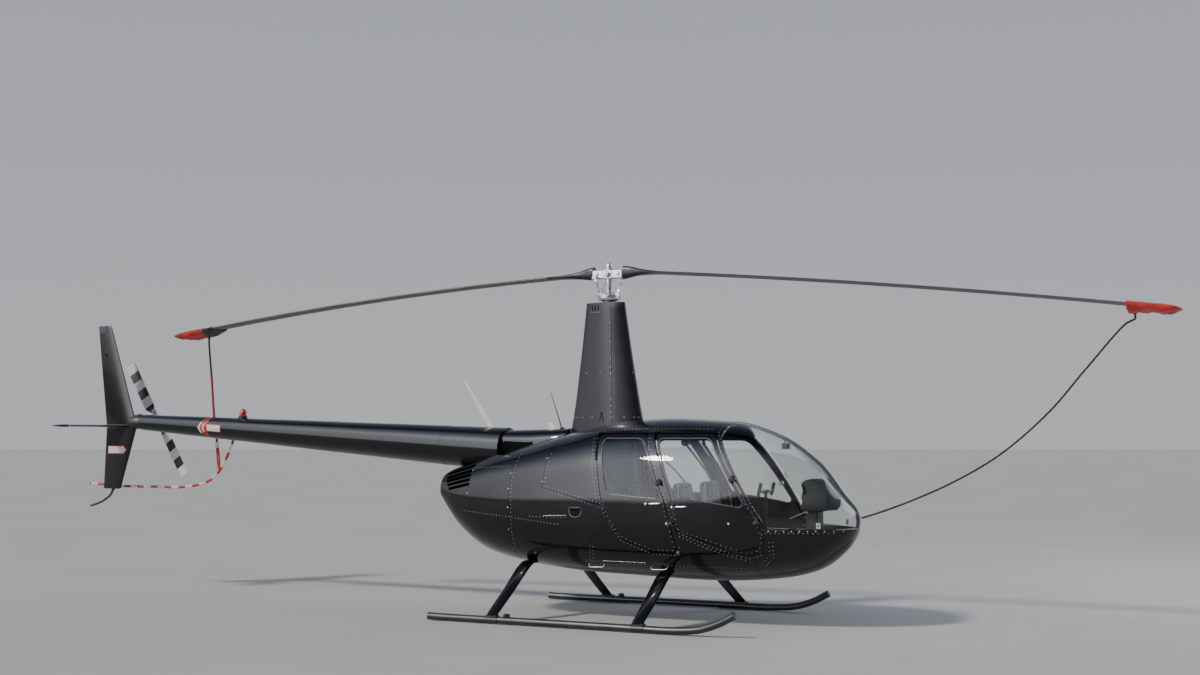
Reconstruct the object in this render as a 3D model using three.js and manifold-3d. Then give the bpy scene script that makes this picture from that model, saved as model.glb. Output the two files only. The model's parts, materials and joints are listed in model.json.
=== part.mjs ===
// A light four-seat helicopter parked on its skids, with its rotor tied down.
// Millimetres. +X is the nose, +Y the port side, +Z up, and the skid soles stand on z = 0.
// Places are given from the main rotor's axis. One group then moves them all, so that
// the origin lies at the middle of the whole outline.

import * as THREE from "three";
import { mergeVertices } from "three/addons/utils/BufferGeometryUtils.js";
import Module from "manifold-3d";

const wasm = await Module();
wasm.setup();

// Driving dimensions

const MAST_X = 790;
const SEAM = 0.2;
const FIT = 0.3;
const WALL = 30;
const DOOR_GAP = 8;
const DOOR_RIM = 18;
const DOOR_SKIN = 12;
const BEYOND_SKIN = 900;

// Cabin pod: one row for each section, from the nose tip aft.
// Columns: x, top z, bottom z, z of the widest line, half width, upper and lower roundness.
const POD_COLUMNS = ["x", "top", "bottom", "waist", "half", "upper", "lower"];
const POD = [
  [2425, 930, 930, 930, 0, 2.0, 2.0],
  [2300, 1140, 665, 930, 270, 2.0, 2.1],
  [2050, 1440, 490, 930, 440, 2.1, 2.2],
  [1700, 1665, 410, 940, 560, 2.2, 2.4],
  [1300, 1780, 380, 950, 625, 2.3, 2.6],
  [800, 1810, 380, 970, 645, 2.4, 2.8],
  [200, 1785, 400, 990, 645, 2.4, 2.9],
  [-300, 1690, 425, 1000, 630, 2.4, 2.9],
  [-700, 1595, 470, 1010, 600, 2.4, 2.8],
  [-1100, 1495, 550, 1040, 550, 2.4, 2.6],
  [-1400, 1400, 720, 1080, 480, 2.4, 2.4],
  [-1600, 1340, 980, 1140, 400, 2.4, 2.2],
];
const POD_AFT = -1600;
const POD_TIP = 2425;
const POD_AROUND = 24;
const POD_STEPS_BODY = 11;
const POD_STEPS_NOSE = 5;
const NOSE_START = 1700;

// Side-view outlines as [x, z], from the upper aft corner clockwise.
const FRONT_DOOR = [
  [703, 1670], [1244, 1670], [1710, 934], [1757, 764], [1720, 672], [1615, 633],
  [1294, 738], [989, 837], [939, 1130],
];
const REAR_DOOR = [
  [132, 1668], [600, 1670], [864, 1104], [948, 800], [972, 672], [948, 648], [738, 650],
  [448, 756], [330, 905], [278, 1015],
];
const FRONT_WINDOW = [
  [740, 1626], [1220, 1626], [1588, 1076], [1560, 1046], [1209, 1100], [964, 1130],
];
const REAR_WINDOW = [
  [184, 1626], [590, 1626], [820, 1130], [790, 1111], [345, 1142], [300, 1180],
];
const WINDSHIELD = [
  [1330, 2000], [2600, 2000], [2600, 848], [1790, 874], [1722, 968], [1306, 1655],
];

// Seams of the fixed skin, as side-view zones that meet edge to edge
const NOSE_SEAM_Z = 859;
const NOSE_SEAM_X = 1650;
const ROOF_SEAM_Z = 1673;
const ZONES = {
  nose: [[NOSE_SEAM_X, 100], [2600, 100], [2600, NOSE_SEAM_Z], [NOSE_SEAM_X, NOSE_SEAM_Z]],
  frame: [
    [1500, NOSE_SEAM_Z], [2600, NOSE_SEAM_Z], [2600, 2000], [1285, 2000],
    [1240, ROOF_SEAM_Z],
  ],
  roof: [
    [-360, 2000], [1285, 2000], [1240, ROOF_SEAM_Z], [180, ROOF_SEAM_Z], [180, 1640],
    [300, 1030], [-360, 1187],
  ],
  tub: [
    [345, 925], [120, 700], [52, 487], [30, 100], [NOSE_SEAM_X, 100], [NOSE_SEAM_X, 700],
    [1300, 760], [1010, 850], [900, 845], [600, 800],
  ],
  post: [
    [900, 845], [1010, 850], [1010, 900], [800, 1500], [800, ROOF_SEAM_Z],
    [560, ROOF_SEAM_Z], [560, 1600], [800, 1100],
  ],
  middle: [
    [-730, 2000], [-360, 2000], [-360, 1187], [300, 1030], [345, 925], [120, 700],
    [52, 487], [30, 100], [-730, 100],
  ],
  aft: [[-1700, 100], [-730, 100], [-730, 2000], [-1700, 2000]],
};

// The upper aft corner of each opening is cut back, where the turning door first moves aft.
const CORNER_RELIEF = [
  [[674, 1682], [730, 1682], [818, 1465], [772, 1465]],
  [[96, 1682], [150, 1682], [208, 1430], [162, 1430]],
];

// Door hinges: each axis runs through two knuckles, as [x, z], at the depth y.
const HINGES = {
  front: { upper: [1508, 1290], lower: [1731, 935], y: 606 },
  rear: { upper: [834, 1250], lower: [952, 905], y: 654 },
};
const KNUCKLE_RADIUS = 8;
const KNUCKLE_LENGTH = 30;
const LUG_LENGTH = 12;
const ARM_THICK = 10;

// Tail
const CONE = { front: -1090, back: -5735, frontZ: 1520, backZ: 1799, frontR: 212, backR: 84 };
const CONE_WALL = 12;
const TAIL_HUB = { x: -5859, y: 345, z: 1833 };
const TAIL_ROTOR_RADIUS = 735;
const TAIL_BLADE_CHORD = 128;
const TAIL_BLADE_PITCH = 8;
const TAIL_BLADE_TILT = 31.8;
const FIN_THICKNESS = 36;

// Main rotor
const ROTOR_RADIUS = 5030;
const ROTOR_AZIMUTH = 2.9;
const BLADE_CHORD = 254;
const BLADE_THICKNESS = 30;
const HUB_Z = 3165;
const COVER_OUTER = 5070;
const STRAP_RADIUS = 4625;
const STRAP_TOP_Z = 2665;
const CORD_RADIUS_OUT = 4700;
const CORD_TOP_Z = 2632;
// Droop of each tied blade: height at the hub, slope and bend per metre of radius
// Cover stations: radius, half width, height over the blade's middle and depth under it
const BLADES = [
  {
    name: "fore", turn: 0, base: 3185, slope: -70, bend: -6.5,
    tabRadius: CORD_RADIUS_OUT, tabZ: CORD_TOP_Z,
    cover: [[4655, 146, 25, 68], [4835, 150, 26, 50], [4930, 148, 26, 58]],
  },
  {
    name: "aft", turn: 180, base: 3165, slope: -35, bend: -11.2,
    tabRadius: STRAP_RADIUS, tabZ: STRAP_TOP_Z,
    cover: [[4540, 142, 22, 22], [4625, 146, 24, 72], [4720, 148, 25, 52], [4880, 150, 26, 60]],
  },
];

// Landing gear
const TRACK_HALF = 1090;
const SKID_RADIUS = 32;
const GEAR_BOWS = [
  { name: "front_gear_bow", x: 815, footX: 848, beltZ: 468 },
  { name: "rear_gear_bow", x: -596, footX: -591, beltZ: 505 },
];

// Materials

function paint(color, roughness, metalness) {
  return new THREE.MeshStandardMaterial({ color, roughness, metalness });
}
const MATERIALS = {
  gloss_black: paint(0x0b0c0f, 0.12, 0.1),
  charcoal: paint(0x2a2c30, 0.35, 0.1),
  blade_dark: paint(0x1d1f22, 0.4, 0.2),
  bare_alloy: paint(0xb9bcc0, 0.3, 0.9),
  cover_red: paint(0xc2242b, 0.9, 0.0),
  skid_black: paint(0x121317, 0.5, 0.1),
  cord_black: paint(0x15161a, 0.9, 0.0),
  antenna_white: paint(0xe9eaec, 0.4, 0.0),
  guard_paint: paint(0xd8d5d2, 0.4, 0.0),
  lens_red: paint(0xa01218, 0.1, 0.0),
  glass: paint(0xdfe8ea, 0.05, 0.0),
  seat_grey: paint(0x55595f, 0.8, 0.0),
  trim_dark: paint(0x1b1c1f, 0.6, 0.0),
  engine_grey: paint(0x6e7073, 0.5, 0.6),
};

// Geometry helpers

const craft = new THREE.Group();
craft.position.x = MAST_X;

function solidFrom(positions, triangles) {
  const build = () => new wasm.Manifold(new wasm.Mesh({
    numProp: 3,
    vertProperties: Float32Array.from(positions),
    triVerts: Uint32Array.from(triangles),
  }));
  const first = build();
  if (first.volume() > 0) return first;
  for (let i = 0; i < triangles.length; i += 3) {
    [triangles[i + 1], triangles[i + 2]] = [triangles[i + 2], triangles[i + 1]];
  }
  return build();
}

function solidOf(geometry) {
  const plain = geometry.clone();
  plain.deleteAttribute("normal");
  plain.deleteAttribute("uv");
  const merged = mergeVertices(plain, 1e-3);
  return solidFrom(merged.attributes.position.array, Array.from(merged.index.array));
}

function loft(rings) {
  const count = rings[0].length;
  const positions = rings.flat(2);
  const triangles = [];
  for (let k = 0; k < rings.length - 1; k += 1) {
    for (let i = 0; i < count; i += 1) {
      const next = (i + 1) % count;
      const a = k * count + i;
      const b = k * count + next;
      triangles.push(a, b, b + count, a, b + count, a + count);
    }
  }
  for (const [ring, start, flip] of [
    [rings[0], 0, true],
    [rings[rings.length - 1], (rings.length - 1) * count, false],
  ]) {
    const centre = [0, 1, 2].map((axis) => ring.reduce((sum, p) => sum + p[axis], 0) / count);
    const middle = positions.length / 3;
    positions.push(...centre);
    for (let i = 0; i < count; i += 1) {
      const next = (i + 1) % count;
      if (flip) triangles.push(middle, start + next, start + i);
      else triangles.push(middle, start + i, start + next);
    }
  }
  return solidFrom(positions, triangles);
}

// A solid of one side-view outline [x, z] between the depths y0 and y1
function prism(outline, y0, y1) {
  const count = outline.length;
  const flat = outline.map(([x, z]) => new THREE.Vector2(x, z));
  const caps = THREE.ShapeUtils.triangulateShape(flat, []);
  const positions = [
    ...outline.flatMap(([x, z]) => [x, y0, z]),
    ...outline.flatMap(([x, z]) => [x, y1, z]),
  ];
  const forward = THREE.ShapeUtils.area(flat) > 0;
  const triangles = [];
  for (const [a, b, c] of caps) {
    triangles.push(a, b, c, a + count, c + count, b + count);
  }
  for (let i = 0; i < count; i += 1) {
    const next = (i + 1) % count;
    if (forward) triangles.push(i, i + count, next + count, i, next + count, next);
    else triangles.push(i, next + count, i + count, i, next, next + count);
  }
  return solidFrom(positions, triangles);
}

// Moves each edge of an outline outwards by the distance, or inwards where it is negative.
function offset(outline, distance) {
  const flat = outline.map(([x, z]) => new THREE.Vector2(x, z));
  const turn = THREE.ShapeUtils.area(flat) > 0 ? 1 : -1;
  const count = flat.length;
  return flat.map((point, i) => {
    const before = flat[(i + count - 1) % count];
    const after = flat[(i + 1) % count];
    const inward = point.clone().sub(before).normalize();
    const outward = after.clone().sub(point).normalize();
    const n1 = new THREE.Vector2(inward.y, -inward.x).multiplyScalar(turn);
    const n2 = new THREE.Vector2(outward.y, -outward.x).multiplyScalar(turn);
    const along = n1.clone().add(n2);
    along.multiplyScalar(distance / (1 + n1.dot(n2)));
    return [point.x + along.x, point.y + along.y];
  });
}

function box(x0, x1, y0, y1, z0, z1) {
  const geometry = new THREE.BoxGeometry(x1 - x0, y1 - y0, z1 - z0);
  geometry.translate((x0 + x1) / 2, (y0 + y1) / 2, (z0 + z1) / 2);
  return solidOf(geometry);
}

function rod(from, to, radius, sides = 12, endRadius = radius) {
  const a = new THREE.Vector3(...from);
  const b = new THREE.Vector3(...to);
  const length = a.distanceTo(b);
  const geometry = new THREE.CylinderGeometry(endRadius, radius, length, sides);
  const turn = new THREE.Quaternion().setFromUnitVectors(
    new THREE.Vector3(0, 1, 0), b.clone().sub(a).normalize(),
  );
  geometry.applyQuaternion(turn);
  geometry.translate(...a.add(b).multiplyScalar(0.5).toArray());
  return solidOf(geometry);
}

function tube(points, radius, sides, steps) {
  const path = new THREE.CatmullRomCurve3(points.map((p) => new THREE.Vector3(...p)));
  const section = new THREE.Shape();
  for (let i = 0; i < sides; i += 1) {
    const angle = (2 * Math.PI * i) / sides;
    const place = [radius * Math.cos(angle), radius * Math.sin(angle)];
    if (i === 0) section.moveTo(...place);
    else section.lineTo(...place);
  }
  const geometry = new THREE.ExtrudeGeometry(section, { steps, extrudePath: path, curveSegments: 1 });
  return solidOf(geometry);
}

function union(...solids) {
  return solids.reduce((sum, solid) => sum.add(solid));
}

function add(name, solid, material) {
  const mesh = solid.getMesh();
  const geometry = new THREE.BufferGeometry();
  const positions = new Float32Array((mesh.vertProperties.length / mesh.numProp) * 3);
  for (let i = 0, j = 0; i < mesh.vertProperties.length; i += mesh.numProp, j += 3) {
    positions.set(mesh.vertProperties.slice(i, i + 3), j);
  }
  geometry.setAttribute("position", new THREE.BufferAttribute(positions, 3));
  geometry.setIndex(Array.from(mesh.triVerts));
  geometry.computeVertexNormals();
  const piece = new THREE.Mesh(geometry, MATERIALS[material]);
  piece.name = name;
  craft.add(piece);
  return solid;
}

// Smooth monotone curve through table values
function curveThrough(xs, ys) {
  const last = xs.length - 1;
  const gaps = xs.slice(1).map((x, i) => x - xs[i]);
  const rises = gaps.map((gap, i) => (ys[i + 1] - ys[i]) / gap);
  const slopes = xs.map((_, i) => {
    if (i === 0) return rises[0];
    if (i === last) return rises[last - 1];
    if (rises[i - 1] * rises[i] <= 0) return 0;
    const w1 = 2 * gaps[i] + gaps[i - 1];
    const w2 = gaps[i] + 2 * gaps[i - 1];
    return (w1 + w2) / (w1 / rises[i - 1] + w2 / rises[i]);
  });
  return (x) => {
    let i = 0;
    while (i < last - 1 && x > xs[i + 1]) i += 1;
    const t = (x - xs[i]) / gaps[i];
    const rise = ys[i + 1] - ys[i];
    const bend0 = slopes[i] * gaps[i] - rise;
    const bend1 = rise - slopes[i + 1] * gaps[i];
    return ys[i] + t * rise + t * (1 - t) * (bend0 * (1 - t) + bend1 * t);
  };
}

// Cabin pod

const podRows = POD.slice().reverse().map(
  (row) => Object.fromEntries(POD_COLUMNS.map((column, i) => [column, row[i]])),
);
const podX = podRows.map((row) => row.x);
const podCurve = {
  rise: curveThrough(podX, podRows.map((row) => (row.top - row.waist) ** 2)),
  drop: curveThrough(podX, podRows.map((row) => (row.waist - row.bottom) ** 2)),
  half: curveThrough(podX, podRows.map((row) => row.half ** 2)),
  waist: curveThrough(podX, podRows.map((row) => row.waist)),
  upper: curveThrough(podX, podRows.map((row) => row.upper)),
  lower: curveThrough(podX, podRows.map((row) => row.lower)),
};

function podRing(x, inset) {
  const size = (key) => Math.sqrt(Math.max(podCurve[key](x), 0)) - inset;
  const waist = podCurve.waist(x);
  return Array.from({ length: POD_AROUND }, (_, i) => {
    const angle = (2 * Math.PI * (i + 0.5)) / POD_AROUND;
    const c = Math.cos(angle);
    const s = Math.sin(angle);
    const power = 2 / podCurve[s >= 0 ? "upper" : "lower"](x);
    const height = size(s >= 0 ? "rise" : "drop");
    return [
      x,
      size("half") * Math.sign(c) * Math.abs(c) ** power,
      waist + height * Math.sign(s) * Math.abs(s) ** power,
    ];
  });
}

function podSolid(inset) {
  const from = POD_AFT + inset;
  const to = POD_TIP - inset - 4;
  const xs = [];
  for (let i = 0; i < POD_STEPS_BODY; i += 1) {
    xs.push(from + ((NOSE_START - from) * i) / POD_STEPS_BODY);
  }
  for (let i = 0; i <= POD_STEPS_NOSE; i += 1) {
    xs.push(NOSE_START + (to - NOSE_START) * Math.sin((Math.PI / 2) * (i / POD_STEPS_NOSE)));
  }
  return loft(xs.map((x) => podRing(x, inset)));
}

const WIDE = 1200;
const INBOARD = 120;
const podOuter = podSolid(0);
const podInner = podSolid(WALL);
const podLining = podSolid(WALL + FIT);
const shell = podOuter.subtract(podInner);

function zone(name) {
  return prism(offset(ZONES[name], -SEAM), -WIDE, WIDE);
}

// Straps, gear and the tail pass through the skin in openings of their own size.
const coneRadius = (x) => THREE.MathUtils.mapLinear(
  x, CONE.front, CONE.back, CONE.frontR, CONE.backR,
);
const coneZ = (x) => THREE.MathUtils.mapLinear(x, CONE.front, CONE.back, CONE.frontZ, CONE.backZ);

function coneSolid(from, to, shrink) {
  return rod(
    [from, 0, coneZ(from)], [to, 0, coneZ(to)],
    coneRadius(from) - shrink, 20, coneRadius(to) - shrink,
  );
}

function gearBow(bow, grow) {
  const chord = 52 + grow;
  const depth = 19 + grow;
  const legTop = TRACK_HALF - 560;
  const stations = [
    { y: TRACK_HALF, z: 62, x: bow.footX, size: 0.86 },
    { y: legTop, z: bow.beltZ - 42, x: bow.x, size: 1 },
    { y: legTop - 70, z: bow.beltZ - 8, x: bow.x, size: 1 },
    { y: legTop - 170, z: bow.beltZ, x: bow.x, size: 1 },
  ];
  const path = [...stations.map((s) => ({ ...s, y: -s.y })), ...stations.slice().reverse()];
  const sides = 10;
  const rings = path.map((here, i) => {
    const before = path[Math.max(i - 1, 0)];
    const after = path[Math.min(i + 1, path.length - 1)];
    const along = new THREE.Vector2(after.y - before.y, after.z - before.z).normalize();
    return Array.from({ length: sides }, (_, k) => {
      const angle = (2 * Math.PI * k) / sides;
      const across = depth * here.size * Math.sin(angle);
      return [
        here.x + chord * here.size * Math.cos(angle),
        here.y - along.y * across,
        here.z + along.x * across,
      ];
    });
  });
  return loft(rings);
}

// The lowest end of each leg is trimmed to stand on the skid tube.
const gearCuts = union(...GEAR_BOWS.map((bow) => gearBow(bow, FIT)));
const coneCut = coneSolid(CONE.front + 60, CONE.back, -FIT);

// Doors and their openings

const doorCuts = union(...[-1, 1].flatMap((side) => [FRONT_DOOR, REAR_DOOR].map(
  (outline) => prism(offset(outline, DOOR_GAP), side * BEYOND_SKIN, side * INBOARD),
).concat(CORNER_RELIEF.map((corner) => prism(corner, side * BEYOND_SKIN, side * INBOARD)))));
const glassCut = prism(WINDSHIELD, -WIDE, WIDE).subtract(box(1000, 2600, -26, 26, 300, 2000));

const fixed = shell.subtract(doorCuts).subtract(glassCut).subtract(gearCuts).subtract(coneCut);

function hingePoint(hinge, share, side) {
  return new THREE.Vector3(
    hinge.upper[0] + (hinge.lower[0] - hinge.upper[0]) * share,
    side * hinge.y,
    hinge.upper[1] + (hinge.lower[1] - hinge.upper[1]) * share,
  );
}

// Knuckles of the door lie between two lugs of the frame, all on one axis.
function hingeParts(hinge, side) {
  const axis = hingePoint(hinge, 1, side).sub(hingePoint(hinge, 0, side)).normalize();
  const doorSide = [];
  const frameSide = [];
  for (const share of [0, 1]) {
    const middle = hingePoint(hinge, share, side);
    const at = (distance) => middle.clone().addScaledVector(axis, distance).toArray();
    const half = KNUCKLE_LENGTH / 2;
    doorSide.push({ from: at(-half), to: at(half) });
    for (const sign of [-1, 1]) {
      frameSide.push({ from: at(sign * (half + FIT)), to: at(sign * (half + LUG_LENGTH)) });
    }
  }
  return { axis, doorSide, frameSide };
}

// A plate between a stretch of the axis, moved by the start vector, and the same moved by the way
function plate(stretch, start, way) {
  const from = new THREE.Vector3(...stretch.from).add(start);
  const to = new THREE.Vector3(...stretch.to).add(start);
  const across = to.clone().sub(from).cross(way).setLength(ARM_THICK / 2);
  const ring = (place) => {
    const far = place.clone().add(way);
    return [[place, 1], [place, -1], [far, -1], [far, 1]]
      .map(([point, sign]) => point.clone().addScaledVector(across, sign).toArray());
  };
  return loft([ring(from), ring(to)]);
}

// A hinge arm runs level with the skin for its reach, then down into the wall.
function arm(stretch, axis, reach, depth, side) {
  const level = new THREE.Vector3(axis.z, 0, -axis.x).multiplyScalar(reach);
  const inward = new THREE.Vector3(0, -side * depth, 0);
  const down = plate(stretch, level, inward);
  if (Math.abs(reach) < ARM_THICK) return down;
  const overlap = level.clone().setLength(Math.abs(reach) + ARM_THICK / 2);
  return plate(stretch, new THREE.Vector3(), overlap).add(down);
}

const skinLayer = podOuter.subtract(podSolid(DOOR_SKIN));

// The outer skin of a door stands out all round over its thicker pan.
function door({ outline, window, hinge, reach, depth }, side) {
  const cutter = (shape) => prism(shape, side * BEYOND_SKIN, side * INBOARD);
  const pan = shell.intersect(cutter(offset(outline, -DOOR_RIM)));
  const panel = skinLayer.intersect(cutter(outline)).add(pan);
  const { axis, doorSide } = hingeParts(hinge, side);
  const knuckles = doorSide.flatMap((stretch) => [
    rod(stretch.from, stretch.to, KNUCKLE_RADIUS, 8),
    arm(stretch, axis, reach, depth, side),
  ]);
  return union(panel.subtract(cutter(window)), ...knuckles);
}

const DOORS = [
  { name: "front", outline: FRONT_DOOR, window: FRONT_WINDOW, hinge: HINGES.front, reach: 40, depth: 66 },
  { name: "rear", outline: REAR_DOOR, window: REAR_WINDOW, hinge: HINGES.rear, reach: 44, depth: 40 },
];
const glassSheet = podSolid(9).subtract(podSolid(15));
for (const entry of DOORS) {
  for (const [hand, side] of [["left", 1], ["right", -1]]) {
    add(`door_${entry.name}_${hand}`, door(entry, side), "gloss_black");
    const pane = prism(offset(entry.window, -FIT), side * BEYOND_SKIN, side * INBOARD);
    add(`glass_${entry.name}_${hand}`, glassSheet.intersect(pane), "glass");
  }
}

// Fixed skin panels and frames

function frameLugs(hinge, side, depth) {
  const { axis, frameSide } = hingeParts(hinge, side);
  return union(...frameSide.flatMap((stretch) => [
    rod(stretch.from, stretch.to, KNUCKLE_RADIUS, 8),
    arm(stretch, axis, 0, depth, side),
  ]));
}

const frontFrame = fixed.intersect(zone("frame"));
const frontLugs = union(...[-1, 1].map((side) => frameLugs(HINGES.front, side, 66)));
add("windshield_frame", frontFrame.add(frontLugs), "gloss_black");
const LIGHTS = { x0: 2306, x1: 2332, half: 48, z0: 738, z1: 848 };
const lightRecess = box(2200, 2600, -LIGHTS.half, LIGHTS.half, LIGHTS.z0, LIGHTS.z1);
add("nose_bowl", fixed.intersect(zone("nose")).subtract(lightRecess), "gloss_black");
add("cabin_tub", fixed.intersect(zone("tub")), "gloss_black");
add("cabin_roof", fixed.intersect(zone("roof")), "gloss_black");
const posts = fixed.intersect(zone("post"));
for (const [hand, side] of [["left", 1], ["right", -1]]) {
  const half = box(0, 1500, side > 0 ? 0 : -WIDE, side > 0 ? WIDE : 0, 300, 2000);
  const lugs = frameLugs(HINGES.rear, side, 48);
  add(`door_post_${hand}`, posts.intersect(half).add(lugs), "gloss_black");
}
const middleSkin = fixed.intersect(zone("middle"));
add("middle_fuselage", middleSkin, "gloss_black");

const FAN = { x: -1290, z: 985, radius: 235 };
const fanHole = rod([-1700, 0, FAN.z], [FAN.x + 60, 0, FAN.z], FAN.radius + 18, 20);
const LOUVRES = { x0: -1500, x1: -1240, z0: 1165, pitch: 42, height: 26, count: 4 };
const louvreCuts = union(...Array.from({ length: LOUVRES.count }, (_, i) => {
  const z = LOUVRES.z0 + i * LOUVRES.pitch;
  const slope = 26;
  const slot = [
    [LOUVRES.x0, z], [LOUVRES.x1, z + slope],
    [LOUVRES.x1, z + slope + LOUVRES.height], [LOUVRES.x0, z + LOUVRES.height],
  ];
  return union(...[-1, 1].map((side) => prism(slot, side * 250, side * WIDE)));
}));
add("aft_cowl", fixed.intersect(zone("aft")).subtract(fanHole).subtract(louvreCuts), "gloss_black");

const CENTRE_BOW = 26;
const windshield = podSolid(6).subtract(podSolid(13))
  .intersect(prism(offset(WINDSHIELD, -FIT), -WIDE, WIDE));
for (const [hand, side] of [["left", 1], ["right", -1]]) {
  const edge = CENTRE_BOW + FIT;
  const half = box(1000, 2600, side > 0 ? edge : -WIDE, side > 0 ? WIDE : -edge, 300, 2000);
  add(`windshield_${hand}`, windshield.intersect(half), "glass");
}

// Cabin floor, bulkhead and engine

const FLOOR_Z = 560;
const FLOOR_THICK = 16;
const BULKHEAD_X = 40;
const BULKHEAD_THICK = 20;
add("rear_bulkhead", podLining.intersect(
  box(BULKHEAD_X, BULKHEAD_X + BULKHEAD_THICK, -WIDE, WIDE, 300, 2000),
), "trim_dark");
add("cabin_floor", podLining.intersect(
  box(BULKHEAD_X + BULKHEAD_THICK + FIT, 2120, -WIDE, WIDE, FLOOR_Z - FLOOR_THICK, FLOOR_Z),
), "trim_dark");
const engine = union(
  box(-1050, -300, -320, 320, 690, 1100),
  box(-310, BULKHEAD_X - FIT, -280, -220, 760, 820),
  box(-310, BULKHEAD_X - FIT, 220, 280, 760, 820),
);
add("engine_block", engine, "engine_grey");
const fan = union(
  rod([FAN.x - 40, 0, FAN.z], [FAN.x + 60, 0, FAN.z], FAN.radius, 20),
  rod([FAN.x - 120, 0, FAN.z], [FAN.x - 30, 0, FAN.z], 30, 16, 70),
  rod([FAN.x + 50, 0, FAN.z], [-1050 - FIT, 0, FAN.z], 45, 12),
);
add("cooling_fan", fan, "bare_alloy");

// Seats

const SEAT_TOP = 840;
const SEAT_ROWS = [
  { name: "front", x0: 880, x1: 1330, backX: 872, backTopX: 838, topZ: 1250, baseHalf: 455 },
  { name: "rear", x0: 100, x1: 560, backX: 100, backTopX: 66, topZ: 1200, baseHalf: 475 },
];
const SEAT_HALF = 190;
const SEAT_Y = 285;
const BACK_THICK = 90;
for (const row of SEAT_ROWS) {
  const base = box(row.x0, row.x1 - 20, -row.baseHalf, row.baseHalf, FLOOR_Z + FIT, SEAT_TOP);
  add(`seat_base_${row.name}`, base, "seat_grey");
  const side = [
    [row.x0, SEAT_TOP + FIT], [row.x1, SEAT_TOP + FIT], [row.x1, SEAT_TOP + 70],
    [row.x0 + BACK_THICK, SEAT_TOP + 90], [row.backTopX + BACK_THICK, row.topZ],
    [row.backTopX, row.topZ], [row.backX, SEAT_TOP + 60],
  ];
  for (const [hand, sign] of [["left", 1], ["right", -1]]) {
    const seat = prism(side, sign * SEAT_Y - SEAT_HALF + 5, sign * SEAT_Y + SEAT_HALF - 5);
    add(`seat_${row.name}_${hand}`, seat, "seat_grey");
  }
}

// Instruments and controls

const panel = union(
  prism([
    [1958, 1006], [2165, 1010], [2200, 1050], [2205, 1120], [2160, 1215], [2100, 1255], [2040, 1278],
    [1990, 1274], [1952, 1225],
  ], -170, 170),
  prism([[1960, FLOOR_Z + FIT], [2090, FLOOR_Z + FIT], [2070, 1015], [1985, 1015]], -75, 75),
);
add("instrument_console", panel, "trim_dark");
const CYCLIC = { x: 1570, topZ: 1150 };
add("cyclic_stick", union(
  rod([CYCLIC.x, 0, FLOOR_Z + FIT], [CYCLIC.x, 0, CYCLIC.topZ], 14, 10),
  rod([CYCLIC.x, -150, CYCLIC.topZ], [CYCLIC.x, 150, CYCLIC.topZ], 10, 10),
  rod([CYCLIC.x, -150, CYCLIC.topZ - 10], [CYCLIC.x, -150, CYCLIC.topZ + 95], 16, 10),
  rod([CYCLIC.x, 150, CYCLIC.topZ - 10], [CYCLIC.x, 150, CYCLIC.topZ + 95], 16, 10),
), "trim_dark");

// Mast fairing and dorsal fairing

const FAIRING = [
  { z: 1700, nose: 372, tail: -400, half: 132 },
  { z: 1960, nose: 318, tail: -352, half: 122 },
  { z: 2420, nose: 238, tail: -290, half: 104 },
  { z: 2780, nose: 182, tail: -248, half: 92 },
  { z: 2890, nose: 165, tail: -236, half: 86 },
];
function teardrop({ z, nose, tail, half }) {
  const count = 20;
  return Array.from({ length: count }, (_, i) => {
    const angle = (2 * Math.PI * i) / count;
    const share = (1 + Math.cos(angle)) / 2;
    const x = nose + (tail - nose) * share;
    const fullness = 1.58 * Math.sqrt(share) * (1 - share) ** 0.85 + 0.63 * share * (1 - share);
    return [x, half * Math.sign(Math.sin(angle)) * fullness, z];
  });
}
const MAST_BORE = 46;
const mastFairing = loft(FAIRING.map(teardrop))
  .subtract(podOuter.translate([0, 0, FIT]))
  .subtract(rod([0, 0, 2700], [0, 0, 2950], MAST_BORE, 16));
add("mast_fairing", mastFairing, "charcoal");

const DORSAL = [
  { x: CONE.front - 20, half: 150, top: 1706, low: 1600 },
  { x: -800, half: 160, top: 1712, low: 1585 },
  { x: -500, half: 150, top: 1718, low: 1610 },
  { x: -405, half: 130, top: 1722, low: 1630 },
];
const dorsalRing = ({ x, half, top, low }) => [
  [x, half, low], [x, half * 0.96, low + (top - low) * 0.45], [x, half * 0.7, low + (top - low) * 0.82],
  [x, half * 0.3, top], [x, -half * 0.3, top], [x, -half * 0.7, low + (top - low) * 0.82],
  [x, -half * 0.96, low + (top - low) * 0.45], [x, -half, low],
];
const dorsal = loft(DORSAL.map(dorsalRing))
  .subtract(podOuter.translate([0, 0, FIT]))
  .subtract(coneSolid(CONE.front + 60, CONE.back, -FIT));
add("dorsal_fairing", dorsal, "gloss_black");

// Tail cone, fins and tail rotor

const coneHollow = coneSolid(CONE.front - CONE_WALL, CONE.back - CONE_WALL, CONE_WALL);
add("tail_cone", coneSolid(CONE.front, CONE.back, 0).subtract(coneHollow), "gloss_black");
const finMount = union(
  rod([CONE.back - FIT, 0, coneZ(CONE.back)], [CONE.back - 190, 0, coneZ(CONE.back) + 4], 76, 16),
  rod([TAIL_HUB.x, 0, TAIL_HUB.z], [TAIL_HUB.x, 270, TAIL_HUB.z], 44, 12, 34),
  box(-6250, -5850, -15, 15, 1742, 1778),
).subtract(coneSolid(CONE.front, CONE.back - FIT, 0));
add("tail_gearbox", finMount, "bare_alloy");

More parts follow.
